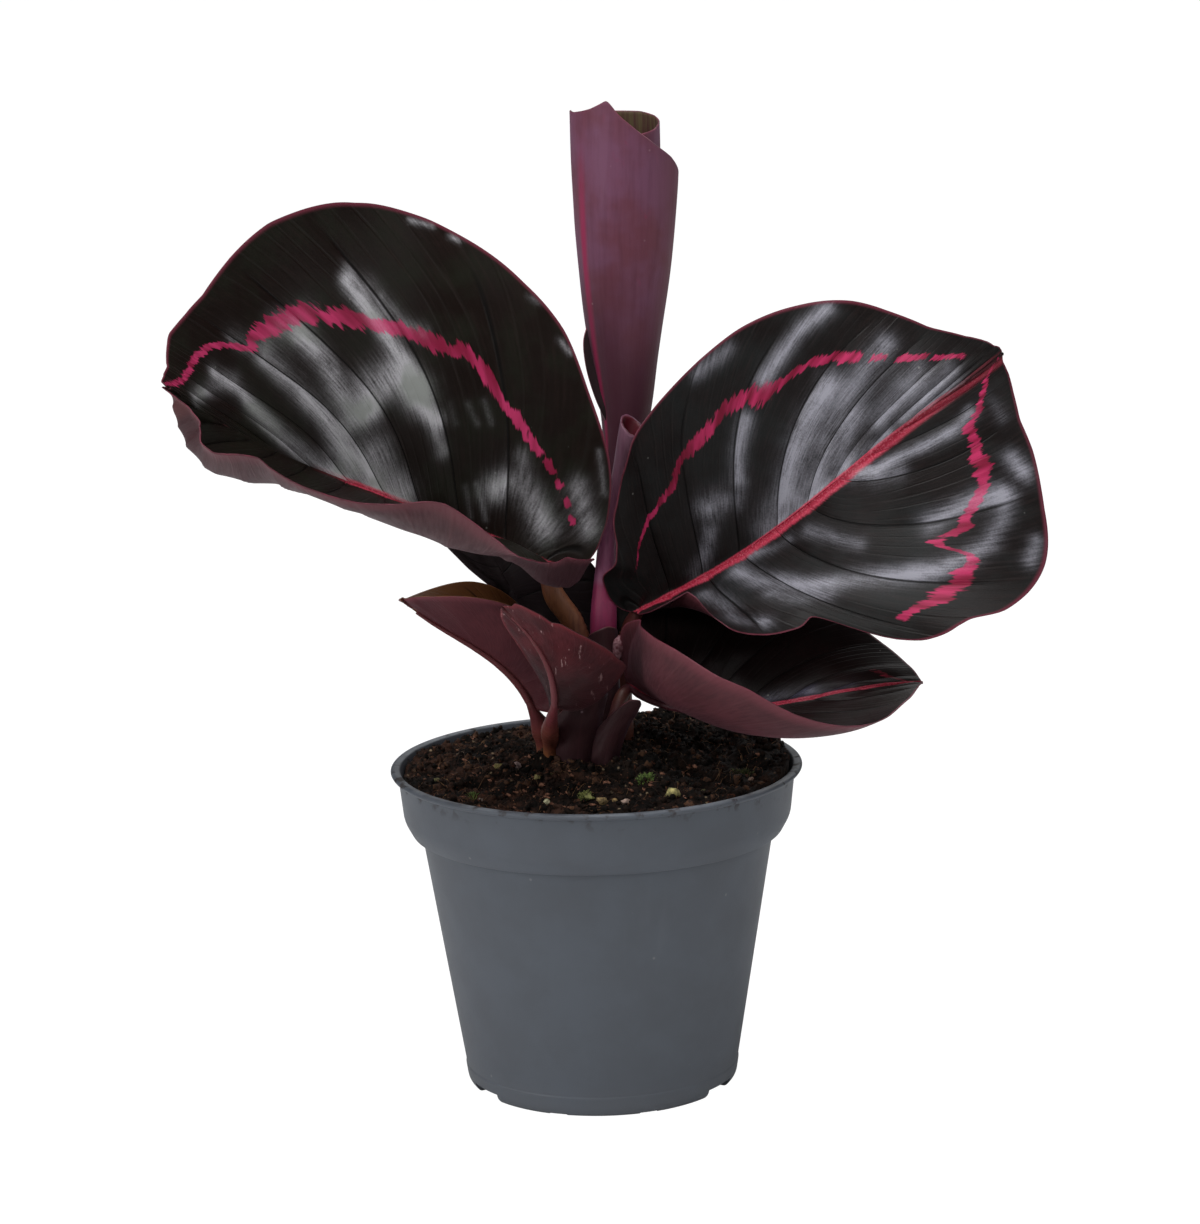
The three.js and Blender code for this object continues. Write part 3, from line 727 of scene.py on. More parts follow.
def soilMaterial(look):
    constants = {"Specular IOR Level": 0.25, "IOR": 1.4}
    material, tree, surface, grain = grained("pottingPeat", constants, 1400.0, 0.07)
    spot = place(tree)
    lumps = noiseOf(spot, 320.0, 5.0, 0.7)
    # the reddish tufts show mostly towards the left: partly the peat's own tufts, partly painted light, so
    # the right stays darker as painted shade from the leaves
    paintedLightLeft = fade(partOf(spot, "X"), 0.012, -0.016, 0.12, 0.55)
    colour = layered(
        mixed(fade(lumps, 0.42, 0.62), look["dark"], look["brown"]),
        (fade(grain["Mottle"], 0.5, 0.75, 0.0, 0.7), look["dark"]),
        (fade(noiseOf(spot, 700.0, 3.0), 0.62, 0.7, 0.0, 0.6), look["rust"]),
        (times(grain["Speck"], 0.7), look["speck"]),
        (times(fade(noiseOf(spot, 110.0, 4.0, 0.7), 0.48, 0.62), paintedLightLeft), look["tuft"]),
    )
    gloss = fade(grain["Mottle"], 0.3, 0.7, 0.75, 0.95)
    dress(surface, colour, gloss, plus(lumps, times(grain["Grain"], 0.5)), 0.9, 0.0006)
    return material


def darker(colour, share):
    return [c * share for c in colour]


def plainOrganic(name, base, other, roughness=0.8):
    # a small rough thing with two tones
    material, tree, surface = newMaterial(name, {"Specular IOR Level": 0.3})
    tone = fade(noiseOf(place(tree), 900.0, 4.0, 0.65), 0.35, 0.65)
    dress(surface, mixed(tone, base, other), roughness, tone, 0.7)
    return material


def makeSoil(look):
    angle = np.linspace(0, fullTurn, look["sectors"], endpoint=False)
    reach = np.linspace(*look["reach"], look["rings"])[:, None]
    x, y = reach * np.cos(angle), reach * np.sin(angle)
    rows = [np.stack([x, y, soilTop(look, x, y)], -1)]
    for r, z in look["wall"]:
        rows.append(circleGrid(r, angle, z)[None])
    peat = soilMaterial(look)
    middle, foot = (0, 0, soilAt(look, 0, 0)), (0, 0, look["wall"][-1][1])
    seat(ringSolid("pottingSoil", np.concatenate(rows), middle, foot, [peat]), "soil")
    return peat


def roundBlob():
    shape = bmesh.new()
    bmesh.ops.create_icosphere(shape, subdivisions=2, radius=1)
    points = np.array([v.co[:] for v in shape.verts])
    faces = [[v.index for v in f.verts] for f in shape.faces]
    shape.free()
    return points, faces


def scatter(name, blobs, materials, slotOf):
    # one mesh of small lumps: each has a place, a size along three axes and the way that its top points
    base, baseFaces = roundBlob()
    rng = np.random.default_rng(3)
    points, faces, slots = [], [], []
    for i, (spot, size, top) in enumerate(blobs):
        lumpy = base * (1 + rng.uniform(-0.38, 0.38, (len(base), 1)))
        turn = np.array(Vector(top).to_track_quat("Z", "Y").to_matrix())
        points.append(lumpy * size @ turn.T + spot)
        faces += [[k + i * len(base) for k in face] for face in baseFaces]
        slots += [slotOf[i]] * len(baseFaces)
    seat(makeMesh(name, np.vstack(points), faces, materials, slots))


def randomSpot(rng, reach, nearest=0.01):
    # even over a disc of that reach, but for the very middle
    r, a = reach * math.sqrt(rng.uniform(nearest, 1)), rng.uniform(0, fullTurn)
    return r * math.cos(a), r * math.sin(a)


def makeCrumbs(look, peat):
    rng = np.random.default_rng(12)
    draw = random.Random(12)
    blobs, slots = [], []
    for _ in range(look["crumbs"]):
        x, y = randomSpot(rng, 55.6)
        size = 0.28 + 0.85 * rng.random() ** 3
        shape = size * rng.uniform(0.6, 1.4, 3)
        top = (draw.random(), draw.random(), draw.random())
        blobs.append(((x, y, soilAt(look, x, y) + size * 0.25), shape, top))
        slots.append(1 if rng.random() < 0.16 else 0)
    for _ in range(look["flecks"]):
        # light flecks gather at the front left
        x, y = randomSpot(rng, 54)
        if rng.random() > 0.25 + 0.75 * heap(x, y, (-22, -26), (26, 24)):
            continue
        size = 0.25 + 0.6 * rng.random() ** 2
        top = (draw.random(), draw.random(), draw.random())
        flat = size * rng.uniform((0.5, 0.5, 0.3), (1.9, 1, 0.6))
        blobs.append(((x, y, soilAt(look, x, y) + size * 0.3), flat, top))
        slots.append(2)
    bark = plainOrganic("barkCrumb", *look["crumbTones"])
    pale = plainOrganic("paleCrumb", *look["fleckTones"])
    scatter("soilCrumbs", blobs, [peat, bark, pale], slots)


def makeChips(look):
    draw = random.Random(5)
    blobs, materials = [], []
    for i, (x, y, size, colour) in enumerate(look["chips"]):
        top = (draw.uniform(-0.4, 0.4), draw.uniform(-0.4, 0.4), 1)
        blobs.append(((x, y, soilAt(look, x, y) + size * 0.35), size * np.array([1, 0.8, 0.65]), top))
        materials.append(plainOrganic("chip%02d" % (i + 1), colour, darker(colour, 0.55)))
    scatter("paleChips", blobs, materials, range(len(blobs)))


def strands(name, lines, radius, materials, slotOf):
    # many fine three-sided strands in one mesh
    points, faces, slots = [], [], []
    start = 0
    for i, line in enumerate(lines):
        across, up = tubeFrames(line)[1:]
        width = radius[i] * np.sqrt(np.linspace(1, 0.1, len(line)))
        n = len(line)
        for k in range(3):
            angle = fullTurn * k / 3
            points.append(line + (across * math.cos(angle) + up * math.sin(angle)) * width[:, None])
            a, b = start + k * n, start + (k + 1) % 3 * n
            faces += [[a + j, b + j, b + j + 1, a + j + 1] for j in range(n - 1)]
        faces += [[start, start + 2 * n, start + n], [start + n - 1, start + 2 * n - 1, start + 3 * n - 1]]
        slots += [slotOf[i]] * (3 * (n - 1) + 2)
        start += 3 * n
    seat(makeSolid(name, np.vstack(points), faces, materials, slots))


def makeFibres(look):
    rng = np.random.default_rng(23)
    bends = 7
    lines, radius, slots = [], [], []
    for _ in range(look["fibres"]):
        x0, y0 = randomSpot(rng, 52, 0.02)
        heading, bend = rng.uniform(0, fullTurn), rng.uniform(-0.35, 0.35)
        stretch = rng.uniform(2.5, 8.5) / bends
        turns = heading + bend * np.arange(bends)
        x = x0 + np.cumsum(np.cos(turns)) * stretch
        y = y0 + np.cumsum(np.sin(turns)) * stretch
        lift = 0.15 + np.sin(np.linspace(0, math.pi, bends)) * rng.uniform(0.1, 1.1)
        inside = np.minimum(1, 54.5 / np.maximum(np.hypot(x, y), 1))
        x, y = x * inside, y * inside
        lines.append(np.stack([x, y, soilTop(look, x, y) + lift], -1))
        radius.append(rng.uniform(0.07, 0.17))
        slots.append(int(rng.integers(0, 2)))
    materials = [plainOrganic(name, *tones) for name, tones in look["fibreTones"].items()]
    strands("soilFibres", lines, radius, materials, slots)


def makeMoss(look):
    rng = np.random.default_rng(31)
    s = np.linspace(0, 1, 4)
    lines, radius, slots, materials = [], [], [], []
    for i, (x, y, spread, count, colour) in enumerate(look["moss"]):
        materials.append(plainOrganic("moss%d" % (i + 1), colour, darker(colour, 0.5), 0.7))
        for _ in range(count):
            away = rng.normal(0, spread * 0.45, 2)
            lean = away / spread * 0.7 + rng.normal(0, 0.35, 2)
            tall = spread * rng.uniform(0.25, 0.6) * math.exp(-(away @ away) / spread ** 2) + 0.35
            fx, fy = x + away[0], y + away[1]
            rise = soilAt(look, fx, fy) - 0.2 + tall * s * (1.2 - 0.3 * s)
            lines.append(np.stack([fx + lean[0] * s * tall, fy + lean[1] * s * tall, rise], -1))
            radius.append(rng.uniform(0.14, 0.26))
            slots.append(i)
    strands("mossTufts", lines, radius, materials, slots)


peat = makeSoil(soilLook)
makeCrumbs(soilLook, peat)
makeChips(soilLook)
makeFibres(soilLook)
makeMoss(soilLook)
print("soil ready")


# Leaves: half of the flat outline, as parts of the length along and across the midrib

leafOutline = np.array([
    (0, 0), (-0.035, 0.07), (-0.055, 0.17), (0, 0.27), (0.12, 0.345), (0.28, 0.385),
    (0.45, 0.39), (0.62, 0.36), (0.78, 0.29), (0.9, 0.19), (0.97, 0.085), (1, 0),
])
veins = {
    "last": 0.985,           # where along the midrib the last side vein leaves it
    "fan": 2.2,              # how much closer together their ends are towards the tip
    "sweep": 1.5,            # how far they bend forward
    "ripple": 0.6,           # how much of a wave's height also shows in the outline
}
# edge, ring, ringWide, paint and ribPaint hold a place along the midrib and the margin's reach, the ring's
# middle, its half width or how strongly it is painted there, all in thousandths
plainHalf = {"edge": [(0, 1000), (1000, 1000)], "ring": [(0, 700), (1000, 800)],
             "ringWide": [(0, 30), (1000, 30)], "paint": [(0, 0), (1000, 0)], "skew": (0.3, 1, 1),
             "shine": [], "pulls": [], "dented": 1}
plainLeaf = {"thickness": 0.5, "sink": 1, "knuckleBelow": 0.015,
             "ribPaint": [(0, 1000), (800, 1000), (900, 0)], "stem": {}}


def alongPairs(pairs, t, blur=9):
    # a softened line through (place, value) pairs
    grid = np.linspace(0, 1, 801)
    places, values = np.array(pairs, float).T
    row = np.pad(np.interp(grid, places, values), blur, mode="edge")
    window = np.hanning(2 * blur + 3)[1:-1]
    return np.interp(t, grid, np.convolve(row, window / window.sum(), "valid"))


def alongParts(pairs, t, blur):
    return alongPairs(np.array(pairs) / 1000, t, blur)


def midribOf(leaf, steps=400):
    # the midrib's points, and at each the ways along it, across the blade and up from it
    u = np.linspace(0, 1, steps + 1)
    pitch, heading, roll = (np.radians(bow(leaf[key], u))[:, None] for key in ("pitch", "heading", "roll"))
    along = np.hstack([np.cos(pitch) * np.cos(heading), np.cos(pitch) * np.sin(heading), np.sin(pitch)])
    level = np.hstack([-np.sin(heading), np.cos(heading), 0 * heading])
    upper = np.cross(along, level)
    across = level * np.cos(roll) + upper * np.sin(roll)
    normal = -level * np.sin(roll) + upper * np.cos(roll)
    walk = np.cumsum((along[1:] + along[:-1]) / 2 * leaf["length"] / steps, 0)
    return np.vstack([np.zeros(3), walk]) + leaf["foot"], along, across, normal


def bladePart(leaf, half, line, side, start, reach):
    # start is where a side vein leaves the midrib, reach runs along it to the margin; side is 1 or -1
    length = leaf["length"]
    out = reach * (1 + (alongParts(half["edge"], start, 5) - 1) * reach ** 2)
    margin = 1 - (1 - start) ** veins["fan"]
    waves, height, phase = half["ruffle"]
    wave = fullTurn * waves * margin + math.radians(phase)
    taper = np.sin(np.pi * margin)
    begin = veins["last"] * start * length
    end = smoothLine(leafOutline[:, 0], margin) * length
    full = smoothLine(leafOutline[:, 1], margin) * length * half["width"]
    full = full * smoothLine(half["fullness"], margin)
    along = begin + (end - begin) * out ** veins["sweep"]
    away = (full + veins["ripple"] * height * np.cos(wave) * taper) * out
    u = np.clip(along / length, 0, 1)
    point, forward, across, normal = (between(rows, u) for rows in line)
    lift, curl = (np.radians(bow(half[key], u)) for key in ("lift", "curl"))
    curl = np.where(np.abs(curl) < 1e-9, 1e-9, curl)         # a flat half is a very wide arc
    flat = (np.sin(lift + curl * away) - np.sin(lift)) / curl
    rise = (np.cos(lift) - np.cos(lift + curl * away)) / curl
    ruffle = height * np.sin(wave) * taper * out ** 3
    place = point + forward * (along - u * length)[..., None] + across * (side * flat)[..., None]
    place = place + normal * (rise + ruffle)[..., None]
    for at, spread, pulls in half["pulls"]:
        # a region of the half drawn aside: where along the midrib, then how far in x, y and z
        pull = np.array(pulls, float)
        moved = np.stack([alongPairs(pull[:, (0, axis)], start) for axis in (1, 2, 3)], -1)
        place = place + hump(reach, at, spread)[..., None] * moved
    return place, away


def veinPlace(half, start, reach):
    # the side veins lean further towards the tip than the rows of the surface do
    lean, fall, bend = half["skew"]
    return start - lean * start * (1 - start) ** fall * reach ** bend


def reliefOf(leaf, half, seed, vein, reach, away):
    # pillows between the main side veins, shallow dents over them and the raised midrib
    phase = leaf["ribs"] * vein + 0.22 * cloudNoise(vein * 5 + 3, reach * 1.5, seed, 1)
    within = phase - np.floor(phase)
    swell = np.random.default_rng(seed).uniform(0.5, 1.25, 60)[np.floor(phase).astype(int) % 60]
    pillow = np.sin(np.pi * within ** 0.72) ** 0.85 * swell - 0.55
    near = step(0, 0.1, reach) * (1 - 0.75 * step(0.75, 1.0, reach))
    near = near * step(0, 0.05, vein) * step(1.0, 0.88, vein)
    dents = cloudNoise(vein * 7, reach * 2.2 + 5, seed + 7, 2) * step(0.05, 0.4, reach)
    ridge = leaf["ridge"] * hump(away, 0, 1.1) * step(1.0, 0.8, vein)
    return phase, leaf["pillow"] * pillow * near + leaf["dents"] * dents * half["dented"] + ridge


def highlightStrokesOf(leaf, half, line, side, spot):
    # painted highlight strokes, silvery, standing in for the satin reflections: each a half width, a strength
    # and a run of (start, reach) places in thousandths
    dark = np.ones(spot.shape[:2])
    for wide, strength, places in half["shine"]:
        start, reach = np.array(places).T / 1000
        knots = bladePart(leaf, half, line, side, start, reach)[0]
        near = np.full(spot.shape[:2], np.inf)
        for a, b in zip(knots[:-1], knots[1:]):
            run = b - a
            s = np.clip(((spot - a) @ run) / (run @ run), 0, 1)
            near = np.minimum(near, np.linalg.norm(spot - a - s[..., None] * run, axis=-1))
        dark *= 1 - strength * np.exp(-(near / (wide * 1.5 if wide > 1.1 else 1)) ** 1.6)
    return 1 - dark


def bladeSheet(name, leaf, materials):
    rows, columns = leaf["grid"]
    line = midribOf(leaf)
    start = 0.0006 + 0.9988 * np.linspace(0, 1, rows + 1) ** 1.2        # closer together near the foot
    reach = 1 - (1 - np.linspace(0, 1, columns + 1) ** 1.25) ** 1.12    # and near the midrib and the margin
    wide, far = np.broadcast_arrays(start[:, None], reach)
    parts = []
    for side, given in ((-1, leaf["halves"][1]), (1, leaf["halves"][0])):
        half = {**plainHalf, **given}
        spot, away = bladePart(leaf, half, line, side, wide, far)
        vein = veinPlace(half, wide, far)
        phase, relief = reliefOf(leaf, half, leaf["seed"] + 20 * side, vein, far, away)
        parts.append({
            "spot": spot, "relief": relief,
            "veinStart": vein, "veinOut": far, "cell": phase, "rowStart": wide,
            "ringOffset": (far - alongParts(half["ring"], wide, 3)) / alongParts(half["ringWide"], wide, 3),
            "ringStrength": alongParts(half["paint"], wide, 2),
            "shine": highlightStrokesOf(leaf, half, line, side, spot),
            "ribPaint": alongParts(leaf["ribPaint"], wide, 9),
            "ribOffset": np.abs(away) / (half.get("stripe", leaf["stripe"]) * (1.1 - 0.4 * wide)),
        })
    marks = {key: np.concatenate([parts[0][key][:, ::-1], parts[1][key][:, 1:]], 1) for key in parts[0]}
    middle = raised(marks.pop("spot"), marks.pop("relief"))
    thin = leaf["thickness"] * (1 - 0.45 * step(0.85, 1.0, marks["veinOut"]))
    return sheetSolid(name, middle, thin, materials, marks)


def stemOf(name, leaf, materials):
    # the stalk and the rib that it becomes under the blade
    reach = np.array([0.015, 0.06, 0.13, 0.22, 0.34, 0.48, 0.62, 0.76, 0.88])
    line = midribOf(leaf)
    point, normal = between(line[0], reach), between(line[-1], reach)
    size = leaf["ribRadius"] * (1.25 - 0.85 * reach)
    under = point - normal * (size * np.linspace(0.85, 1.02, len(reach)) * leaf["sink"])[:, None]
    joints = np.vstack([leaf["stalk"], under])
    radii = [leaf["stalkRadius"]] * len(leaf["stalk"]) + list(size)
    u = np.linspace(0, 1, 230)
    last = (len(leaf["stalk"]) - 1) / (len(joints) - 1)
    knuckle = hump(u, last - leaf["knuckleBelow"], 0.035)
    creases = 0.05 * np.sin(u * 900) * knuckle + 0.02 * cloudNoise(u * 50, u * 0, leaf["seed"] + 3)
    radius = smoothLine(radii, u) * (1 + 0.12 * knuckle + creases)
    marks = {"reach": u / last, "knuckle": knuckle}
    return tubeSolid(name, flowingLine(joints, u), radius, materials, 24, marks)


def leafTop(name, look):
    # dark satin upper face: painted highlight strokes between the side veins, the painted ring, midrib and
    # margin
    constants = {"Specular IOR Level": look["specular"], "IOR": 1.5, "Coat Roughness": 0.32}
    material, tree, surface, grain = grained(name, constants, 1900.0, look["specks"])
    start, out, cells, beside = (mark(tree, label) for label in ("veinStart", "veinOut", "cell", "ribOffset"))
    veinsHere = useGroup(sideVeins, tree, start, out, look["veins"])
    mottle, streak = grain["Mottle"], veinsHere["Streak"]
    offset, strength = mark(tree, "ringOffset"), mark(tree, "ringStrength")
    ring = useGroup(paintedRing, tree, offset, strength, start, out, look["strokes"])
    # painted shade: the main vein grooves drawn as thin near-black lines, breaking the painted highlight
    groove = times(fade(calc("PINGPONG", cells, 0.5), 0.006, 0.03, 1.0, 0.0), fade(out, 0.97, 0.8))
    # painted light across each pillow between the main veins: brighter on one side, dimmer on the other
    facet = fade(calc("FRACT", cells), 0.05, 0.95, 1.15, look["facet"])
    # the painted highlight strokes, plus a thin painted sheen of the same tint over the whole face
    lit = plus(times(mark(tree, "shine"), 0.95, facet), look["haze"])
    uneven = plus(stray(streak, 1.7), stray(grain["Grain"], 0.7), stray(mottle, 1.6))
    # the painted highlight, silvery, standing in for the satin reflections
    paintedHighlight = times(fade(plus(lit, times(uneven, lit)), 0.0, 1.15), minus(1.0, times(groove, 0.6)))
    paint = layered(
        mixed(ring["Tone"], look["ringDeep"], look["ringBright"]),
        (fade(streak, 0.5, 0.75, 0.0, 0.4), look["ringDeep"]),
        # the ring lightened where the painted highlight crosses it
        (times(paintedHighlight, 0.6), look["ringHighlight"]),
    )
    ribTint = layered(
        mixed(fade(beside, 0.1, 0.9), look["ribDeep"], look["ribBright"]),
        (fade(grain["Grain"], 0.45, 0.7, 0.0, 0.45), look["ribSpeck"]),
    )
    ribMask = times(fade(plus(beside, stray(streak, 0.7)), 0.6, 1.25, 1.0, 0.0), mark(tree, "ribPaint"))
    colour = layered(
        mixed(fade(mottle, 0.4, 0.68), look["dark"], look["green"]),
        (fade(streak, 0.45, 0.8, 0.0, 0.5), look["warm"]),
        (times(veinsHere["Line"], 0.06), look["veinLine"]),
        # painted highlight, greener in mottled patches on some leaves
        (paintedHighlight, look["paintedHighlight"]),
        (times(fade(mottle, 0.5, 0.68), paintedHighlight, look["greening"]), look["leafGreen"]),
        # painted shade in the vein grooves
        (times(groove, 0.75), look["groove"]),
        (times(ring["Mask"], 0.95), paint),
        (ribMask, ribTint),
        (fade(out, look["rimFrom"], 1.0, 0.0, look["rimShown"]), look["rim"]),
        (times(grain["Speck"], 0.45), look["speck"]),
    )
    gloss = fade(plus(mottle, times(streak, 0.6)), 0.5, 1.1, *look["gloss"])
    relief = plus(times(veinsHere["Height"], look["veinDepth"]), times(grain["Grain"], 0.3))
    dress(surface, colour, gloss, minus(relief, times(groove, 1.4)), 0.6, 0.00022)
    feed(surface["Coat Weight"], times(paintedHighlight, 0.5))
    return material


def leafUnder(name, look):
    # matte coloured underside with faint raised veins and a redder margin
    constants = {"Specular IOR Level": 0.3, "IOR": 1.45, "Sheen Weight": 0.05, "Sheen Roughness": 0.5,
                 "Sheen Tint": tint(190, 160, 180)}
    material, tree, surface, grain = grained(name, constants)
    out, row = mark(tree, "veinOut"), mark(tree, "rowStart")
    veinsHere = useGroup(sideVeins, tree, mark(tree, "veinStart"), out, look["veins"])
    streak = veinsHere["Streak"]
    nicks = fade(grooves(place(tree), (900.0, 300.0, 130.0), (0.0, 0.6, 0.0)), 0.64, 0.7)
    colour = layered(
        mixed(fade(grain["Mottle"], 0.32, 0.7), look["under"], look["underOther"]),
        (fade(streak, 0.4, 0.75, 0.0, 0.45), look["underDark"]),
        (times(veinsHere["Line"], 0.13), look["underLine"]),
        (times(nicks, look["nicks"]), look["nick"]),
        (fade(row, *look["baseRun"], 0.0, look["baseShade"]), look["underDark"]),
        (times(fade(out, 0.9, 1.0, 0.0, 0.65), fade(row, *look["rimRun"])), look["underRim"]),
        (fade(mark(tree, "ribOffset"), 2.2, 0.6, 0.0, 0.5), look["underRib"]),
        (times(grain["Speck"], 0.4), look["underSpeck"]),
    )
    relief = plus(times(veinsHere["Height"], -0.6), times(grain["Grain"], 0.4))
    dress(surface, colour, fade(streak, 0.2, 0.8, 0.5, 0.66), relief, 0.45)
    return material


def leafRim(name, colour):
    material, tree, surface = newMaterial(name, {"Roughness": 0.5, "Specular IOR Level": 0.4})
    tone = fade(noiseOf(place(tree), 260.0, 3.0), 0.35, 0.65)
    feed(surface["Base Color"], mixed(tone, colour, darker(colour, 0.7)))
    return material


def stalkMaterial(name, look):
    # round stalk: fine lengthwise fibres, a browner knuckle and a redder rib past it
    constants = {"Specular IOR Level": 0.4, "IOR": 1.45}
    material, tree, surface, grain = grained(name, constants, 1300.0)
    reach = mark(tree, "reach")
    fibre = grooves(place(tree), (1300.0, 1300.0, 90.0))
    colour = layered(
        mixed(fade(reach, 0.1, 0.95), look["foot"], look["neck"]),
        (fade(reach, 1.0, 1.25), look["rib"]),
        (times(mark(tree, "knuckle"), 0.55), look["knuckle"]),
        (fade(fibre, 0.45, 0.7, 0.0, 0.5), look["fibre"]),
        (fade(grain["Mottle"], 0.5, 0.8, 0.0, 0.5), look["blotch"]),
    )
    dress(surface, colour, fade(grain["Mottle"], 0.3, 0.7, 0.42, 0.56), fibre, 0.5)
    return material


darkFace = {
    "specular": 0.13, "specks": 0.004, "veins": 62.0, "strokes": 230.0, "veinDepth": 0.7,
    "dark": (23, 14, 10), "green": (24, 23, 14), "warm": (36, 21, 17), "veinLine": (70, 66, 62),
    # below, the face's highlight tints, its overall sheen and the lighter side of each pillow are painted
    # light, and the groove tint is painted shade
    "paintedHighlight": (156, 153, 161), "leafGreen": (72, 92, 56), "groove": (9, 8, 8), "speck": (150, 150, 145),
    "ringDeep": (122, 18, 48), "ringBright": (190, 48, 96), "ringHighlight": (222, 122, 160),
    "ribBright": (196, 60, 84), "ribDeep": (150, 24, 48), "ribSpeck": (214, 110, 128),
    "rim": (112, 46, 62), "rimFrom": 0.982, "rimShown": 0.9, "gloss": (0.34, 0.46), "haze": 0.025,
    "facet": 0.55, "greening": 0.0, "baseShade": 0.0, "nicks": 0.0,
    "baseRun": (0.24, 0.16),         # the underside's dark base fades out between these places on the midrib
    "rimRun": (-2.0, -1.0),          # and its redder margin fades in between these
    "under": (82, 40, 46), "underOther": (68, 32, 37), "underDark": (46, 22, 26), "underLine": (104, 62, 66),
    "underRim": (116, 56, 66), "underRib": (86, 40, 40), "underSpeck": (176, 150, 156),
    "nick": (196, 156, 156),
}
tanStalk = {
    "foot": (106, 60, 46), "neck": (124, 79, 53), "rib": (104, 50, 46), "knuckle": (92, 54, 38),
    "fibre": (74, 38, 32), "blotch": (70, 32, 30),
}

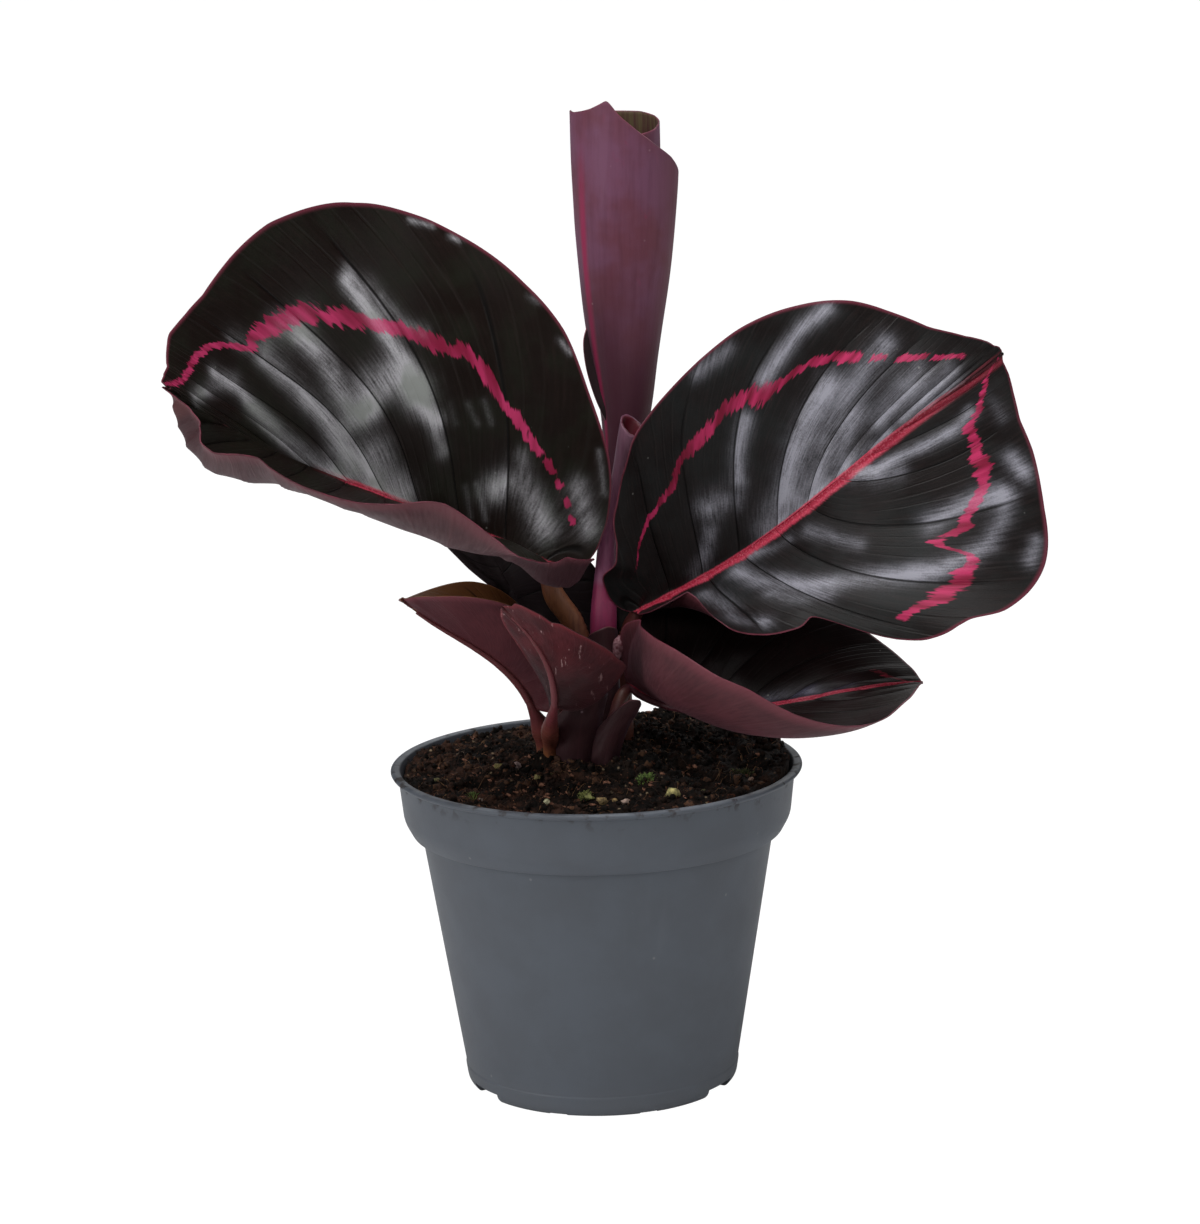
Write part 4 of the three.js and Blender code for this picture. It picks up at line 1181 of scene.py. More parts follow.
leftLeaf = {
    "node": "leaf_left", "slot": "open_leaf", "length": 152.5, "foot": (-12.6, -3.5, 154.3),
    "pitch": (29, 24.5, 31), "heading": (177, 224.5, 242.5), "roll": (-61, -71.5, -50.5),
    "stalk": [(-5, 4.5, 86), (-4.2, 4, 104), (-3.2, 2.5, 122), (-6, 0, 137), (-10.8, -1.5, 145)],
    "stalkRadius": 3.1, "ribRadius": 1.5, "grid": (290, 74), "thickness": 0.55, "ribs": 11, "pillow": 0.8,
    "dents": 0.5, "ridge": 0.35, "seed": 101, "stripe": 1.35,
    "ribPaint": [
        (0, 1000), (240, 1000), (280, 500), (330, 500), (370, 1000), (440, 900), (480, 200), (550, 0),
        (1000, 0),
    ],
    "face": {
        "under": (70, 38, 42), "underOther": (58, 30, 34), "underRim": (104, 54, 62), "baseShade": 0.85,
        "greening": 0.5, "ringBright": (208, 60, 112), "ringDeep": (140, 28, 62), "paintedHighlight": (196, 194, 199),
        "haze": 0.03,
    },
    "knuckleBelow": 0.1,
    "halves": (
        {
            "width": 1.1, "lift": (96, 33.5, -29.5), "curl": (-0.65, 0.92, 3.4),
            "fullness": (1.05, 1.06, 1.12, 0.72, 1.55), "ruffle": (2.5, 1.5, 170), "dented": 0.35,
            "pulls": [
                (1, 0.22, [
                    (0, 0, 0, 0), (0.03, 2, -1, 1.5), (0.09, 0.5, -2, 3.2), (0.125, 0, -2, 0.8),
                    (0.15, 0, -2, 0), (0.175, 0, -2, 2), (0.2, 0, -1, 4.6), (0.225, 0, 0, 5.6),
                    (0.25, 0, 0, 4.4), (0.275, 0, 0, 2.4), (0.3, 0, 0, 2), (0.32, 0, 0, 3.5),
                    (0.335, 0, 0, 5.2), (0.35, 0, 0, 4.2), (0.37, 0, 0, 1.3), (0.4, 0, 0, -1),
                    (0.45, 0, 0, -0.6), (0.5, 2.8, 0, -0.2), (0.55, 4.4, 0, 0.9), (0.6, 4.8, 0, 0.2),
                    (0.65, 4.2, 0, -1.6), (0.7, 5.2, 0, -1.8), (0.75, 8, 0, -3), (0.8, 9.2, 0, -4),
                    (0.9, 6, 0, -4), (0.95, 1.5, 0, -1.8), (1, -0.8, 0, 0),
                ]),
                (0.7, 0.24, [
                    (0, 0, 0, 0), (0.03, 3, 0, -4), (0.05, 3, 0, -7), (0.1, 3, 0, -11.5),
                    (0.125, 2, 0, -12), (0.15, 1, 0, -10.5), (0.175, 0, 0, -5), (0.2, 0, 0, -2),
                    (0.23, 0, 0, 0), (0.35, 0, 0, 1.2), (0.4, 0, 0, 3.3), (0.45, 0, 0, 2.7),
                    (0.5, 0, 0, 1.2), (0.55, 0, 0, 0), (0.6, -2.6, 0, -2), (0.65, -4.2, 0, -3.6),
                    (0.7, -4.4, 0, -3.8), (0.75, -4.8, 0, -3.8), (0.8, -4, 0, -3.6), (0.9, -2, 0, -3),
                    (0.96, 0, 0, -0.5), (1, 0, 0, 0),
                ]),
            ],
        },
        {
            "width": 1.15, "lift": (17.5, 22, 13.5), "curl": (0.5, -0.19, 0.73),
            "fullness": (0.4, 0.75, 1.12, 1.13, 0.96), "ruffle": (5, 0.8, 0), "skew": (0.9, 1, 0.6),
            "pulls": [(1, 0.3, [
                (0, 0, 0, 0), (0.012, 2.5, 0, -1), (0.025, 5.5, 0, -1), (0.05, 4.4, 0, 0), (0.075, 1, 0, 0),
                (0.1, 0, 0, 0), (1, 0, 0, 0),
            ])],
            "edge": [
                (0, 1000), (170, 1000), (200, 1020), (230, 1005), (290, 1020), (350, 999), (440, 1015),
                (500, 999), (560, 985), (600, 1000), (650, 1025), (700, 1005), (740, 987), (800, 1015),
                (860, 1057), (920, 1107), (960, 1180), (1000, 1100),
            ],
            "ring": [
                (80, 750), (107, 690), (137, 642), (177, 595), (211, 565), (229, 580), (265, 615),
                (280, 580), (311, 575), (335, 595), (375, 610), (405, 640), (437, 690), (495, 720),
                (537, 746), (551, 709), (583, 790), (607, 840), (637, 850), (691, 850), (803, 890),
                (1000, 960),
            ],
            "ringWide": [
                (0, 20), (120, 28), (200, 30), (260, 30), (330, 32), (370, 26), (400, 36), (470, 42),
                (530, 38), (570, 22), (650, 20), (750, 30), (850, 45), (1000, 40),
            ],
            "paint": [
                (0, 0), (80, 100), (90, 700), (100, 250), (110, 700), (120, 200), (127, 800), (134, 300),
                (145, 850), (155, 400), (165, 900), (178, 500), (190, 950), (210, 700), (240, 1000),
                (365, 1000), (372, 500), (380, 1000), (970, 1000), (1000, 600),
            ],
            "shine": [
                (1.6, 0.85, [(389, 759), (369, 615), (343, 488), (313, 344), (287, 328)]),
                (3.5, 0.95, [(395, 408), (357, 445), (327, 395)]), (2.1, 0.5, [(383, 773), (365, 739)]),
                (1.6, 0.6, [(355, 696), (337, 619), (313, 599)]),
                (2.6, 0.7, [(473, 645), (457, 525), (453, 425), (441, 301)]),
                (2.3, 0.7, [(537, 645), (519, 475), (495, 314), (473, 171), (447, 54)]),
                (1.6, 0.7, [(645, 736), (627, 619), (633, 445), (609, 187), (540, 40), (460, 10)]),
                (1.6, 0.5, [(789, 686), (681, 669), (625, 645)]),
                (2.1, 0.95, [(439, 278), (407, 321), (379, 391)]),
                (3.8, 0.95, [(409, 134), (387, 47), (343, 13)]), (1.7, 0.5, [(493, 154), (461, 117)]),
                (2.8, 0.7, [(167, 288), (157, 385), (133, 431), (91, 468)]),
                (1.6, 0.5, [(171, 505), (151, 472)]), (0.5, 0.25, [(213, 167), (179, 67)]),
                (0.5, 0.25, [(197, 214), (153, 104)]), (0.4, 0.18, [(273, 408), (259, 351)]),
                (0.4, 0.18, [(251, 448), (231, 408)]), (0.4, 0.18, [(233, 502), (215, 458)]),
                (2.3, 0.45, [(119, 779), (81, 863)]), (1.0, 0.28, [(139, 953), (109, 957)]),
                (1.6, 0.35, [(303, 331), (271, 234)]), (0.7, 0.5, [(305, 975), (289, 985)]),
                (0.6, 0.5, [(277, 980), (271, 985)]), (0.6, 0.45, [(225, 975), (219, 985)]),
                (0.9, 0.55, [(199, 960), (191, 980)]), (1.9, 0.4, [(565, 803), (539, 679)]),
                (2.9, 0.35, [(497, 716), (451, 699)]),
            ],
        },
    ),
}
rightLeaf = {
    "node": "leaf_right", "slot": "open_leaf", "length": 136.4, "foot": (12.5, 3.4, 139),
    "pitch": (14, 40, 21.5), "heading": (40, -20, 52), "roll": (69, 81, 49),
    "stalk": [(8.6, 7.5, 86), (8.2, 7.5, 104), (8.2, 7.2, 122), (10, 6, 132)], "stalkRadius": 2.9,
    "ribRadius": 1.3, "grid": (280, 74), "thickness": 0.55, "ribs": 11, "pillow": 0.85, "dents": 0.55,
    "ridge": 0.5, "seed": 202, "stripe": 1.22,
    "ribPaint": [(0, 1000), (600, 1000), (700, 700), (800, 400), (860, 150), (900, 0)],
    "face": {"haze": 0.055, "dark": (21, 16, 15), "green": (22, 23, 22), "paintedHighlight": (154, 153, 163)},
    "stem": {"neck": (92, 42, 38)},
    "halves": (
        {
            "width": 1.03, "lift": (24.5, 8, -11), "curl": (0.05, 0.57, -0.45),
            "fullness": (1.1, 0.91, 0.98, 0.93, 0.55), "ruffle": (3, 1.2, 0), "skew": (0.95, 2, 0.8),
            "stripe": 0.9,
            "pulls": [(1, 0.35, [
                (0, 0, 0, 0), (0.02, -2.5, 0, -2), (0.035, -3, 0, -2), (0.05, -2, 0, -1.6),
                (0.064, -1.6, 0, -1.6), (0.08, 3.2, 0, -2.2), (0.1, 1.6, 0, 0), (0.12, 0.3, 0, 0),
                (1, 0, 0, 0),
            ])],
            "edge": [
                (0, 1000), (50, 1100), (100, 930), (125, 990), (160, 1050), (200, 1020), (250, 1000),
                (300, 1012), (350, 1020), (400, 1008), (450, 1005), (500, 993), (550, 987), (600, 1008),
                (650, 1025), (700, 1030), (750, 1018), (800, 1027), (850, 1010), (900, 985), (950, 955),
                (1000, 920),
            ],
            "ring": [
                (90, 650), (115, 625), (150, 610), (200, 585), (225, 575), (255, 640), (293, 666),
                (325, 690), (355, 710), (387, 672), (410, 710), (433, 763), (467, 776), (511, 789),
                (573, 823), (631, 843), (733, 876), (1000, 950),
            ],
            "ringWide": [
                (0, 12), (150, 20), (200, 22), (230, 35), (260, 30), (300, 45), (330, 40), (360, 35),
                (378, 48), (390, 50), (410, 18), (450, 24), (490, 28), (520, 16), (540, 30), (580, 22),
                (650, 22), (1000, 18),
            ],
            "paint": [
                (0, 0), (100, 500), (130, 750), (200, 1000), (400, 1000), (408, 550), (416, 1000),
                (490, 1000), (494, 0), (502, 0), (506, 900), (522, 1000), (526, 0), (538, 0), (543, 900),
                (585, 900), (592, 100), (600, 700), (660, 600), (700, 250), (740, 50), (1000, 0),
            ],
            "shine": [
                (1.7, 0.5, [(161, 67), (207, 134), (239, 214)]), (2.6, 0.8, [(261, 324), (295, 294)]),
                (1.7, 0.6, [(329, 351), (341, 492), (359, 605)]),
                (1.6, 0.65, [(383, 739), (399, 819), (411, 900), (429, 970)]),
                (1.7, 0.4, [(309, 963), (331, 950), (343, 950)]),
                (2.6, 0.85, [(355, 33), (417, 177), (441, 365), (459, 542), (469, 659)]),
                (2.3, 0.8, [(453, 67), (487, 181), (493, 388), (503, 599), (511, 729), (515, 846)]),
                (2.1, 0.7, [(549, 174), (539, 375), (535, 485)]),
                (2.3, 0.7, [(593, 431), (597, 599), (599, 749)]),
                (1.9, 0.55, [(699, 274), (693, 548), (681, 749)]), (2.2, 0.4, [(800, 50), (870, 50)]),
                (1.2, 0.6, [(371, 40), (501, 50), (607, 120), (677, 160)]),
            ],
        },
        {
            "width": 1.09, "lift": (87, 19.5, -6.5), "curl": (0.29, 0.05, 0.16),
            "fullness": (1.05, 0.72, 0.72, 1.28, 0.45), "ruffle": (4, 1.8, 240), "stripe": 2.8,
            "edge": [
                (0, 1000), (100, 1000), (150, 1020), (180, 930), (200, 1010), (240, 1000), (262, 940),
                (282, 800), (292, 880), (302, 1110), (315, 1140), (335, 1080), (355, 1020), (370, 995),
                (385, 1035), (410, 1030), (440, 1019), (500, 991), (560, 981), (600, 965), (650, 973),
                (700, 986), (800, 978), (850, 980), (900, 965), (950, 945), (1000, 900),
            ],
            "ring": [
                (330, 860), (351, 829), (400, 793), (425, 789), (449, 790), (458, 660), (463, 645),
                (481, 716), (505, 750), (533, 800), (569, 783), (593, 780), (621, 742), (649, 800),
                (689, 816), (731, 829), (850, 880), (1000, 950),
            ],
            "ringWide": [
                (0, 20), (360, 20), (390, 40), (420, 35), (445, 20), (455, 30), (480, 30), (520, 28),
                (550, 40), (580, 30), (620, 35), (660, 25), (1000, 25),
            ],
            "paint": [
                (0, 0), (330, 0), (345, 700), (360, 1000), (447, 1000), (453, 750), (460, 1000), (468, 300),
                (478, 1000), (700, 1000), (800, 900), (880, 600), (1000, 200),
            ],
            "shine": [
                (1.2, 0.9, [(585, 77), (587, 231), (609, 358), (619, 528), (629, 669), (653, 759)]),
                (1.7, 0.45, [(565, 50), (563, 271), (569, 421)]),
                (1.6, 0.5, [(421, 130), (437, 294), (441, 378)]),
                (2.3, 0.65, [(485, 612), (505, 699), (515, 773), (517, 856)]),
                (1.9, 0.8, [
                    (247, 151), (271, 358), (321, 448), (373, 498), (403, 605), (423, 699), (443, 763),
                    (467, 819), (493, 860), (515, 870),
                ]),
                (1.4, 0.45, [(273, 47), (337, 100), (375, 100)]),
                (2.1, 0.6, [(173, 301), (203, 585), (213, 793), (237, 839)]),
                (1.7, 0.4, [(267, 532), (297, 602), (333, 552)]), (1.9, 0.8, [(557, 913), (539, 946)]),
                (1.6, 0.5, [(447, 955), (469, 965)]), (1.9, 0.25, [(657, 873), (615, 920)]),
            ],
        },
    ),
}
lowRightLeaf = {
    "node": "leaf_low_right", "slot": "low_leaf", "length": 90, "foot": (9.6, 0.2, 118.8),
    "pitch": (-25, 8.5, 1), "heading": (-47, -7, -5), "roll": (10, 34.5, 6.5),
    "stalk": [(1.5, -7.8, 87), (2, -7.6, 101), (5.4, -5.5, 110), (8.2, -2, 116)], "stalkRadius": 1.8,
    "ribRadius": 1.1, "grid": (190, 52), "ribs": 9, "pillow": 0.4, "dents": 0.4, "ridge": 0.3, "sink": 0.8,
    "seed": 303, "stripe": 0.8, "ribPaint": [(0, 600), (400, 1000), (600, 800), (900, 600), (1000, 400)],
    "face": {
        "ringBright": (130, 38, 54), "ringDeep": (84, 24, 32), "paintedHighlight": (104, 102, 124), "specular": 0.12,
        "haze": 0.01, "dark": (25, 15, 15), "green": (25, 20, 18), "warm": (40, 20, 22),
    },
    "stem": {"foot": (66, 34, 32), "neck": (72, 34, 38), "rib": (74, 34, 42)},
    "halves": (
        {
            "width": 1.06, "lift": (56, 17, 6), "curl": (0.13, 0.09, 0.25),
            "fullness": (1.35, 1.02, 0.95, 1.06, 0.89), "ruffle": (3, 0.5, 0),
            "ring": [(0, 660), (500, 700), (1000, 900)],
            "paint": [(0, 0), (550, 0), (660, 500), (900, 520), (1000, 300)],
            "pulls": [(1, 0.45, [
                (0, 0, 0, 0), (0.03, -4, 2, 3), (0.06, -7.5, 4, 8), (0.1, -7, 6, 5), (0.15, -5, 8, 0),
                (0.2, -3, 8, -1.5), (0.25, -1, 5, 0), (0.32, 0, 0, 0), (1, 0, 0, 0),
            ])],
            "shine": [
                (1.6, 0.5, [(500, 60), (560, 160), (620, 200)]), (1.4, 0.3, [(660, 100), (720, 400)]),
            ],
        },
        {
            "width": 1.27, "lift": (78, 4.5, 9), "curl": (0.34, 1.88, 0.27),
            "fullness": (1.1, 0.9, 1.18, 1.09, 0.98), "ruffle": (4, 0.6, 90),
            "ring": [(0, 660), (500, 700), (1000, 900)],
            "paint": [(0, 0), (700, 0), (850, 450), (1000, 400)],
            "pulls": [(1, 0.35, [
                (0, 0, 0, 0), (0.1, 1, 0, -1), (0.13, 2, 0, -2.6), (0.16, 3, 0, -4), (0.2, 4, 0, -3.5),
                (0.25, 3.2, 0, -2), (0.29, 1.5, 0, -1), (0.32, 0.5, 0, 1), (0.36, 0, 0, 0), (1, 0, 0, 0),
            ])],
        },
    ),
}
lowLeftLeaf = {
    "node": "leaf_low_left", "slot": "low_leaf", "length": 52.9, "foot": (-17.9, -5, 113.2),
    "pitch": (70, 35, 46), "heading": (189, 197, 199), "roll": (19.5, 7, 20.5),
    "stalk": [(-15, 1.5, 88), (-14.7, 1, 100), (-15.8, -2, 106.5)], "stalkRadius": 2.7, "ribRadius": 0.9,
    "grid": (130, 40), "ribs": 6, "pillow": 0.2, "dents": 0.3, "ridge": 0.2, "sink": 0.6, "seed": 404,
    "stripe": 0.9,
    "face": {
        "dark": (88, 52, 27), "green": (98, 62, 32), "warm": (76, 43, 28), "gloss": (0.45, 0.55),
        "rim": (128, 84, 52), "under": (84, 38, 44), "underOther": (70, 29, 36),
    },
    "stem": {"foot": (126, 84, 56), "neck": (116, 48, 52), "rib": (96, 42, 46)},
    "halves": (
        {
            "width": 0.96, "lift": (45, 41.5, 17.5), "curl": (0.5, 0.56, 0.5),
            "fullness": (0.6, 0.8, 1.02, 1, 0.99), "ruffle": (3, 0.3, 0),
        },
        {
            "width": 1.05, "lift": (30.5, 52, 7.5), "curl": (0.43, 0.6, 0.27),
            "fullness": (1, 1, 1.02, 1.03, 1), "ruffle": (3, 0.3, 90),
        },
    ),
}
lowFrontLeaf = {
    "node": "leaf_low_front", "slot": "low_leaf", "length": 35, "foot": (-11.5, -25, 118),
    "pitch": (96, 61, 43), "heading": (189, 200, 193), "roll": (62, 44, 40),
    "stalk": [(-12.8, -4.5, 88), (-13, -6.5, 101), (-13, -18, 110)], "stalkRadius": 2.25, "ribRadius": 0.8,
    "grid": (130, 44), "ribs": 5, "pillow": 0.25, "dents": 0.4, "ridge": 0.2, "sink": 0.6, "seed": 505,
    "stripe": 0.8,
    "face": {
        "under": (94, 35, 41), "underOther": (48, 15, 19), "underDark": (34, 10, 13),
        "underRim": (124, 36, 46), "underLine": (106, 66, 70), "baseShade": 0.88, "baseRun": (0.56, 0.05),
        # its margin is left out near the base, where the underside is painted dark as shade
        "rimRun": (0.15, 0.45), "rim": (78, 32, 38), "nicks": 0.6,
    },
    "stem": {"foot": (142, 96, 48), "neck": (120, 56, 52), "rib": (104, 46, 52)},
    "halves": (
        {
            "width": 1.22, "lift": (30.5, -10, -5), "curl": (0.39, 0.13, 0.26),
            "fullness": (1, 1.05, 1.18, 0.96, 1), "ruffle": (2, 0.4, 0),
            "edge": [
                (0, 850), (120, 860), (180, 960), (215, 1100), (230, 1200), (245, 1100), (300, 1000),
                (350, 970), (400, 1000), (430, 950), (460, 1010), (520, 1050), (600, 1070), (660, 1000),
                (720, 1040), (1000, 1000),
            ],
        },
        {
            "width": 0.76, "lift": (55, 24, 20), "curl": (0.41, 0.29, 0.33), "fullness": (1, 1, 1, 1, 1),
            "ruffle": (2, 0.3, 90),
        },
    ),
}
backLeftLeaf = {
    "node": "leaf_back_left", "slot": "low_leaf", "length": 66, "foot": (-19, 14, 136),
    "pitch": (60, 66, 70), "heading": (185, 180, 178), "roll": (-90, -90, -90),
    "stalk": [(-9.5, 11.5, 86), (-9.7, 12, 102), (-12.6, 14, 120)], "stalkRadius": 1.9, "ribRadius": 1.1,
    "grid": (140, 44), "ribs": 8, "pillow": 0.4, "dents": 0.4, "ridge": 0.3, "seed": 606, "stripe": 1.0,
    "ribPaint": [(0, 0), (1000, 0)],
    "face": {
        "specular": 0.15, "dark": (34, 26, 29), "green": (38, 31, 32), "rim": (70, 40, 44), "rimShown": 0.6,
        "gloss": (0.45, 0.55),
    },
    "stem": {"foot": (76, 42, 38), "neck": (56, 30, 30), "rib": (42, 30, 32)},
    "halves": (
        {
            "width": 0.42, "lift": (10, 8, 4), "curl": (0.3, 0.3, 0.3), "fullness": (1, 1, 1, 1.2, 1.2),
            "ruffle": (3, 0.4, 0),
            "pulls": [(1, 0.5, [
                (0, 0, 0, 0), (0.05, 0, 0, 4), (0.1, -1, 0, 7), (0.2, 3.2, 0, 5), (0.25, 1.5, 0, 2),
                (0.3, 0, 0, 0), (1, 0, 0, 0),
            ])],
        },
        {
            "width": 0.7, "lift": (10, 8, 4), "curl": (0.3, 0.3, 0.3), "fullness": (1.7, 1.65, 1.1, 1, 1),
            "ruffle": (3, 0.4, 90),
            "pulls": [(1, 0.5, [
                (0, 0, 0, 0), (0.03, 5, 0, -8), (0.07, 8, 0, -10), (0.12, 8, 0, -6), (0.2, 4, 0, -2),
                (0.3, 0, 0, 0), (1, 0, 0, 0),
            ])],
        },
    ),
}


def camelName(node):
    head, *rest = node.split("_")
    return head + "".join(word.capitalize() for word in rest)


def makeLeaf(given):
    leaf = {**plainLeaf, **given}
    look = {**darkFace, **leaf["face"]}
    name = camelName(leaf["node"])
    faces = [leafTop(name + "Face", look), leafUnder(name + "Underside", look),
             leafRim(name + "Margin", look["rim"])]
    skin = stalkMaterial(name + "StalkSkin", {**tanStalk, **leaf["stem"]})
    seat(bladeSheet(name + "Blade", leaf, faces), leaf["node"])
    seat(stemOf(name + "Stalk", leaf, [skin]), leaf["node"])


for leaf in (leftLeaf, rightLeaf, lowRightLeaf, lowLeftLeaf, lowFrontLeaf, backLeftLeaf):
    makeLeaf(leaf)
print("leaves ready")


# Rolled sheets: the tall rolled leaf and the sheaths at the crown

def rolledSheet(look, rows, columns, wave, cycles, seed, rise):
    # part of a turn of sheet round a line: its middle with soft waves, and the two marks of its skin
    low, high = look["middle"][0][2], look["middle"][-1][2]
    turn, climb = np.broadcast_arrays(np.linspace(0, 1, columns + 1), np.linspace(0, 1, rows + 1)[:, None])
    angle = np.radians(look["turn"][0] + (look["turn"][1] - look["turn"][0]) * turn)
    z = low + (alongPairs(look["top"], turn, look["soft"]) - low) * climb
    u = (z - low) / (high - low)
    centre = flowingLine(look["middle"], u)
    radius = smoothLine(look["radii"], u) * smoothLine(look["swell"], turn)
    spot = np.stack([centre[..., 0] + radius * np.cos(angle), centre[..., 1] + radius * np.sin(angle), z], -1)
    waves = wave * cloudNoise(turn * cycles[0], climb * cycles[1], seed, 2) * np.minimum(1, climb * rise)
    return raised(spot, waves), {"turn": turn, "climb": climb}


rolledLook = {
    "middle": [(7.5, 12, 163), (10.4, 20, 190), (10.9, 24, 214), (11.4, 24, 243), (12, 24, 272)],
    "radii": (3.9, 6.4, 10.6, 13.9, 15.1),
    "turn": (300, 760),
    "swell": (0.6, 0.64, 0.72, 0.8, 0.92, 1.01, 1.01, 1, 1, 1, 0.99),
    "top": [(0, 276), (0.1, 277.3), (0.162, 278.7), (0.209, 279.9), (0.276, 280.8), (0.34, 280.9),
            (0.48, 281.2), (0.522, 282.5), (0.572, 282.4), (0.605, 283), (0.629, 283.7), (0.652, 284.9),
            (0.673, 286.2),
            (0.685, 284.7), (0.697, 282.8), (0.711, 281.1), (0.748, 277.3), (0.806, 272.3), (0.848, 269.3),
            (0.879, 266.3), (0.913, 263.3), (1, 254)],
    "soft": 4,
    "stalk": [(2.5, 15.5, 86), (3, 15.5, 104), (5, 14.5, 130), (7.4, 12.2, 160), (7.5, 12, 168)],
    "stalkRadii": (2.4, 2.3, 2.2, 2.6, 3.7),
    "stalkSkin": {"neck": (96, 50, 70), "foot": (92, 50, 48)},
    "flap": [(10, 15, 180), (7, 17, 189), (3.6, 17.5, 196), (1.6, 18.5, 201), (-0.5, 19.5, 209),
             (-1, 20.5, 216.4), (0.4, 21.5, 221), (2.4, 22, 226)],
    "flapRun": (5, 2, 1),
    # the flap is the roll's loose edge in darker tints, painted shade
    "shadedFlapSkin": {"outside": (58, 28, 36), "outsideOther": (46, 22, 26), "shade": (34, 18, 22),
                 "streak": (58, 28, 36), "side": (46, 22, 26), "inside": (58, 28, 36),
                 "insideOther": (40, 20, 24)},
    "thickness": 0.55,
    "outside": (108, 66, 90), "outsideOther": (100, 52, 66), "shade": (74, 38, 50), "streak": (150, 26, 72),
    "streakAt": 0.595, "blotsAt": 0.73,      # parts of the sheet's turn
    "inside": (92, 80, 54), "insideOther": (74, 40, 42), "blot": (138, 34, 68), "rim": (132, 62, 82),
    "footShade": 0.9, "side": (96, 56, 60), "speck": (176, 150, 160),
}


def rolledSkin(name, look, outer):
    # velvety sheet with lengthwise streaks; the outer face has a broad coloured streak and faint blots
    constants = {"Specular IOR Level": 0.28, "IOR": 1.45, "Sheen Weight": 0.1, "Sheen Roughness": 0.45,
                 "Sheen Tint": tint(196, 164, 196)}
    material, tree, surface, grain = grained(name, constants)
    turn, climb = mark(tree, "turn"), mark(tree, "climb")
    streak = noiseOver(times(turn, 60.0), times(climb, 5.0), 4.0, 0.6)
    if outer:
        off, aside = (calc("ABSOLUTE", minus(turn, look[key])) for key in ("streakAt", "blotsAt"))
        band = times(fade(off, 0.003, 0.022, 1.0, 0.0), fade(climb, 0.97, 0.7, 0.0, 0.85))
        blots = times(fade(noiseOver(times(turn, 26.0), times(climb, 13.0)), 0.62, 0.74, 0.0, 0.5),
                      fade(aside, 0.02, 0.08, 1.0, 0.0), fade(climb, 0.55, 0.75))
        colour = layered(
            mixed(fade(grain["Mottle"], 0.35, 0.68), look["outside"], look["outsideOther"]),
            (fade(streak, 0.4, 0.75, 0.0, 0.3), look["shade"]),
            (fade(climb, 0.72, 0.3, 0.0, look["footShade"]), look["shade"]),
            (fade(turn, 0.76, 0.88, 0.0, 0.6), look["side"]),
            (times(band, fade(streak, 0.2, 0.6, 0.5, 1.0)), look["streak"]),
            (blots, look["blot"]),
        )
    else:
        colour = mixed(fade(streak, 0.35, 0.7), look["inside"], look["insideOther"])
    colour = mixed(times(grain["Speck"], 0.4), colour, look["speck"])
    dress(surface, colour, fade(streak, 0.2, 0.8, 0.5, 0.64), plus(streak, times(grain["Grain"], 0.5)), 0.4)
    return material


def rolledSkins(name, look):
    return [rolledSkin(name + "Inside", look, False), rolledSkin(name + "Outside", look, True)]


def makeRolled(look):
    middle, marks = rolledSheet(look, 150, 210, 0.35, (9, 4), 71, 4)
    margin, thick = leafRim("rolledMargin", look["rim"]), look["thickness"]
    sheet = sheetSolid("leafRolledBlade", middle, thick, rolledSkins("rolled", look) + [margin], marks)
    u = np.linspace(0, 1, 110)
    skin = stalkMaterial("rolledStalkSkin", {**tanStalk, **look["stalkSkin"]})
    stem = tubeSolid("leafRolledStalk", flowingLine(look["stalk"], u), smoothLine(look["stalkRadii"], u),
                     [skin], 24, {"reach": u * 0.98, "knuckle": 0 * u})
    side, climb = np.broadcast_arrays(np.linspace(0, 1, 21), np.linspace(0, 1, 81)[:, None])
    middle = flowingLine(look["flap"], climb) + side[..., None] * np.array(look["flapRun"])
    middle[..., 1] -= 2.2 * np.sin(side * 2.4 + 0.3) * (1 - climb)      # its foot is cupped
    # the flap's skins are darker tints of the roll's, painted shade
    skins = rolledSkins("flap", {**look, **look["shadedFlapSkin"]}) + [margin]
    flap = sheetSolid("leafRolledFlap", middle, thick, skins, {"turn": side, "climb": 0.3 * climb})
    for piece in (sheet, flap, stem):
        seat(piece, "leaf_rolled")


makeRolled(rolledLook)
print("rolled leaf ready")


shootLook = {
    "path": [(2.4, 1.8, 86), (2.4, 1.6, 104), (2.5, 0.8, 122), (3, 1, 138), (3.7, 3.5, 150), (5, 5.5, 164),
             (8.6, 5.5, 179.5), (12.3, 4.5, 193.8)],
    "radii": (3, 3.2, 3.6, 3.8, 3, 2.4, 2.3, 3.6),
    "cup": 11, "wall": 0.55, "open": 0.55,
    "low": (84, 30, 42), "magenta": (124, 36, 72), "purple": (134, 74, 104), "top": (120, 82, 100),
    "dark": (84, 36, 62), "mouth": (84, 20, 32), "seam": (158, 84, 114),
    "seamAngle": 2.2,        # radians round the shoot at its foot
}


def shootMaterial(look):
    constants = {"Specular IOR Level": 0.4, "IOR": 1.45, "Sheen Weight": 0.08, "Sheen Roughness": 0.4,
                 "Sheen Tint": tint(210, 150, 200)}
    material, tree, surface, grain = grained("shootSkin", constants)
    climb = mark(tree, "reach")
    streak = grooves(place(tree), (900.0, 900.0, 60.0))
    colour = layered(
        mixed(fade(climb, 0.2, 0.42), look["low"], look["magenta"]),
        (fade(climb, 0.53, 0.56), look["purple"]),
        (fade(climb, 0.7, 0.9), look["top"]),
        (fade(streak, 0.45, 0.75, 0.0, 0.4), look["dark"]),
        (times(mark(tree, "seam"), 0.45), look["seam"]),
        (minus(1.0, mark(tree, "outer")), look["mouth"]),
    )
    dress(surface, colour, fade(grain["Mottle"], 0.3, 0.7, 0.4, 0.54), streak, 0.4)
    return material


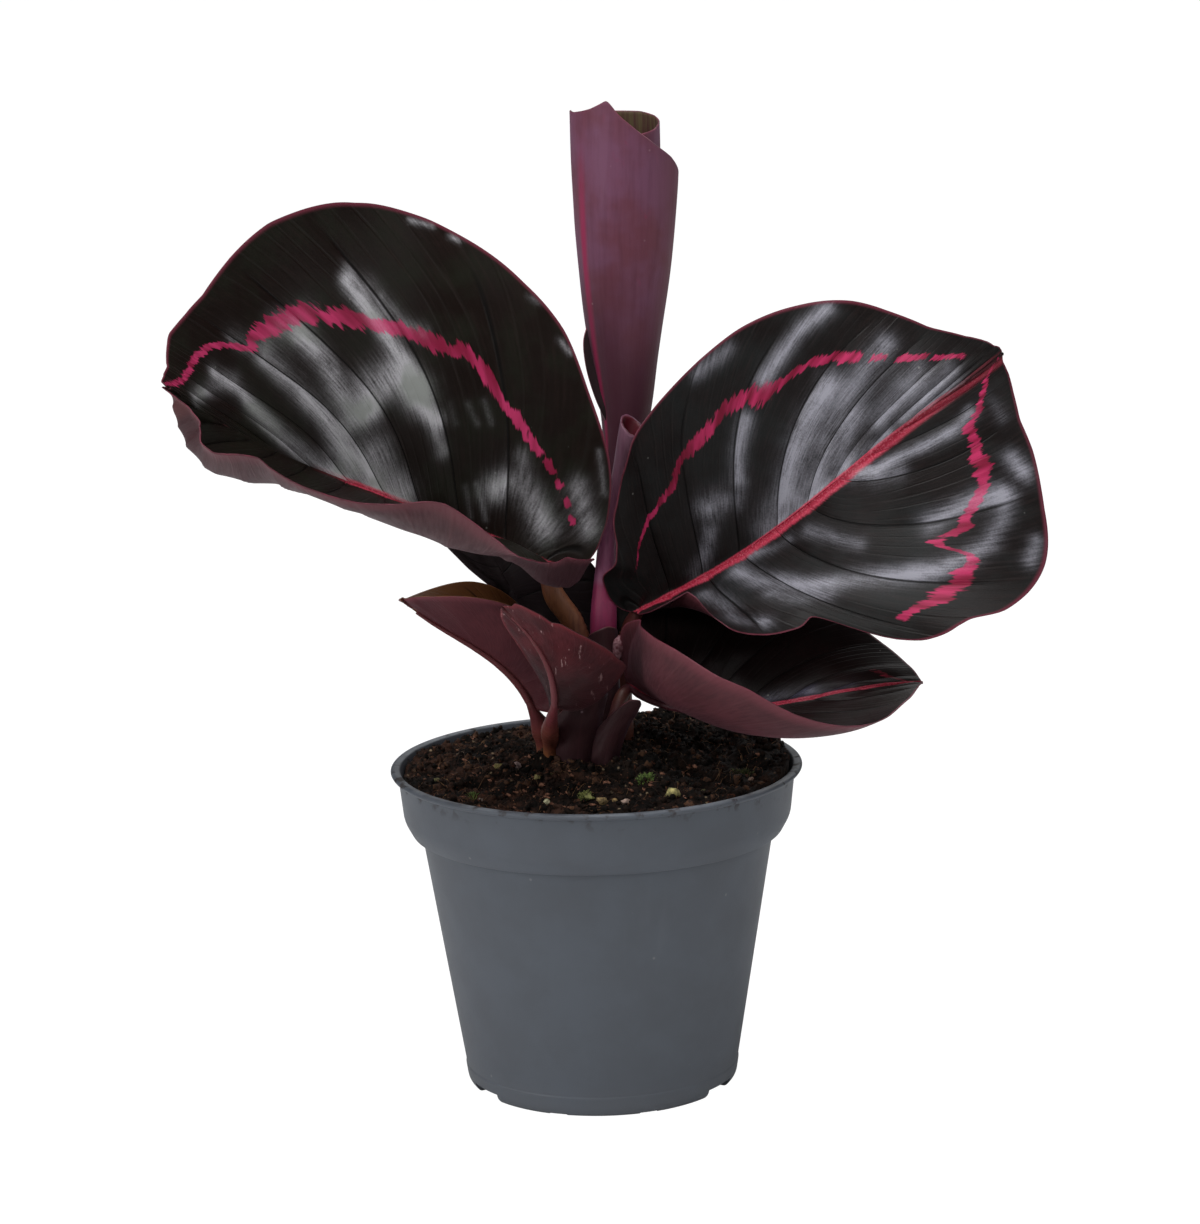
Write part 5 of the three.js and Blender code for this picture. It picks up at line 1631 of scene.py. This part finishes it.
def makeShoot(look):
    # a tight roll: the outline turns in over its lip and goes down inside as far as the open mouth reaches
    u = np.linspace(0, 1, 170)
    centre = flowingLine(look["path"], u)
    radius = smoothLine(look["radii"], u)
    length = np.concatenate([[0], np.cumsum(np.linalg.norm(np.diff(centre, axis=0), axis=-1))])
    deep = np.searchsorted(length, length[-1] - look["cup"])
    inner = np.arange(len(u) - 1, deep, -1)
    both = np.concatenate([np.arange(len(u)), inner])
    fall = (length[inner] - length[deep]) / look["cup"]
    inside = (radius[inner] - look["wall"]) * (0.35 + 0.65 * fall)
    along, across, up = (part[both] for part in tubeFrames(centre))
    angle = np.linspace(0, fullTurn, 40, endpoint=False)
    reach = u[both][:, None]
    outer = (np.arange(len(both)) < len(u)).astype(float)[:, None]
    turned = angle - look["seamAngle"] - 1.5 * reach             # the seam winds slowly round
    seam = hump(np.mod(turned + np.pi, fullTurn), np.pi, 0.22)
    size = np.concatenate([radius, inside])[:, None] * np.ones(len(angle))
    size = size + outer * (0.3 * seam + 0.05 * np.sin(angle * 9 + reach * 5))
    ring = ringsRound(across, up, size, angle)
    ragged = 0.5 * cloudNoise(angle * 1.6 + 0 * size, 3 + 0 * size, 29, 2)
    slant = step(0.88, 1, reach) * (look["open"] * ring[..., 1] + ragged - 0.25 * ring[..., 0])
    ring = centre[both][:, None] + ring + along[:, None] * slant[..., None]
    cupFloor = centre[deep] + along[deep] * 0.2
    marks = {"reach": reach, "outer": outer, "seam": seam * outer}
    shoot = ringSolid("youngShoot", ring, centre[0], cupFloor, [shootMaterial(look)], marks)
    seat(shoot, "shoot_young")


makeShoot(shootLook)
print("shoot ready")


sheathLook = {
    "sheets": {
        "sheath_left": {
            "middle": [(-6, -5.5, 88), (-5.6, -7.5, 104), (-3.5, -9, 118)], "radii": (5.4, 6, 7.4),
            "turn": (200, 350), "top": [(0, 111), (0.25, 116), (0.5, 119.5), (0.75, 120.5), (1, 118)]},
        "sheath_right": {
            "middle": [(1.7, -9.2, 88), (3, -9.6, 102), (9.5, -11, 117)], "radii": (3.4, 4.2, 5),
            "turn": (195, 350), "top": [(0, 107), (0.25, 113), (0.5, 117.5), (0.75, 117), (1, 113.5)]},
        "shoot_collar": {
            "middle": [(2.4, 0.8, 106), (2.4, 0.6, 120), (2, 0.6, 134)], "radii": (4.4, 4.7, 4.5),
            "turn": (160, 430), "top": [(0, 128), (0.25, 134), (0.5, 136.5), (0.75, 134.5), (1, 127)]},
    },
    "shared": {"soft": 90, "swell": (1, 1)},
    "thickness": 0.6,
    "bud": [(5.8, -2.2, 125.5), (6.8, -2.7, 128.5), (7.5, -3, 131.5), (7.9, -3.1, 133.4)],
    "budRadii": (1.0, 1.5, 1.9, 0.9), "budTones": ((150, 112, 118), (96, 48, 56)),
    "outside": (58, 29, 32), "outsideOther": (48, 23, 26), "shade": (36, 18, 21), "streak": (56, 27, 31),
    "streakAt": 0.5, "blotsAt": 0.73, "inside": (66, 34, 36), "insideOther": (50, 26, 28),
    "blot": (90, 44, 50), "rim": (92, 44, 50), "footShade": 0.5, "side": (60, 28, 32),
    "speck": (176, 150, 160),
}


def makeSheaths(look):
    skins = rolledSkins("sheath", look) + [leafRim("sheathMargin", look["rim"])]
    for node, sheet in look["sheets"].items():
        middle, marks = rolledSheet({**look["shared"], **sheet}, 70, 60, 0.25, (5, 5), 83, 3)
        sheath = sheetSolid(camelName(node) + "Sheet", middle, look["thickness"], skins, marks)
        seat(sheath, "shoot_young" if node == "shoot_collar" else node)
    u = np.linspace(0, 1, 40)
    bud = tubeSolid("sideBud", flowingLine(look["bud"], u), smoothLine(look["budRadii"], u),
                    [plainOrganic("budSkin", *look["budTones"], 0.5)])
    seat(bud, "shoot_young")


makeSheaths(sheathLook)
print("sheaths ready")
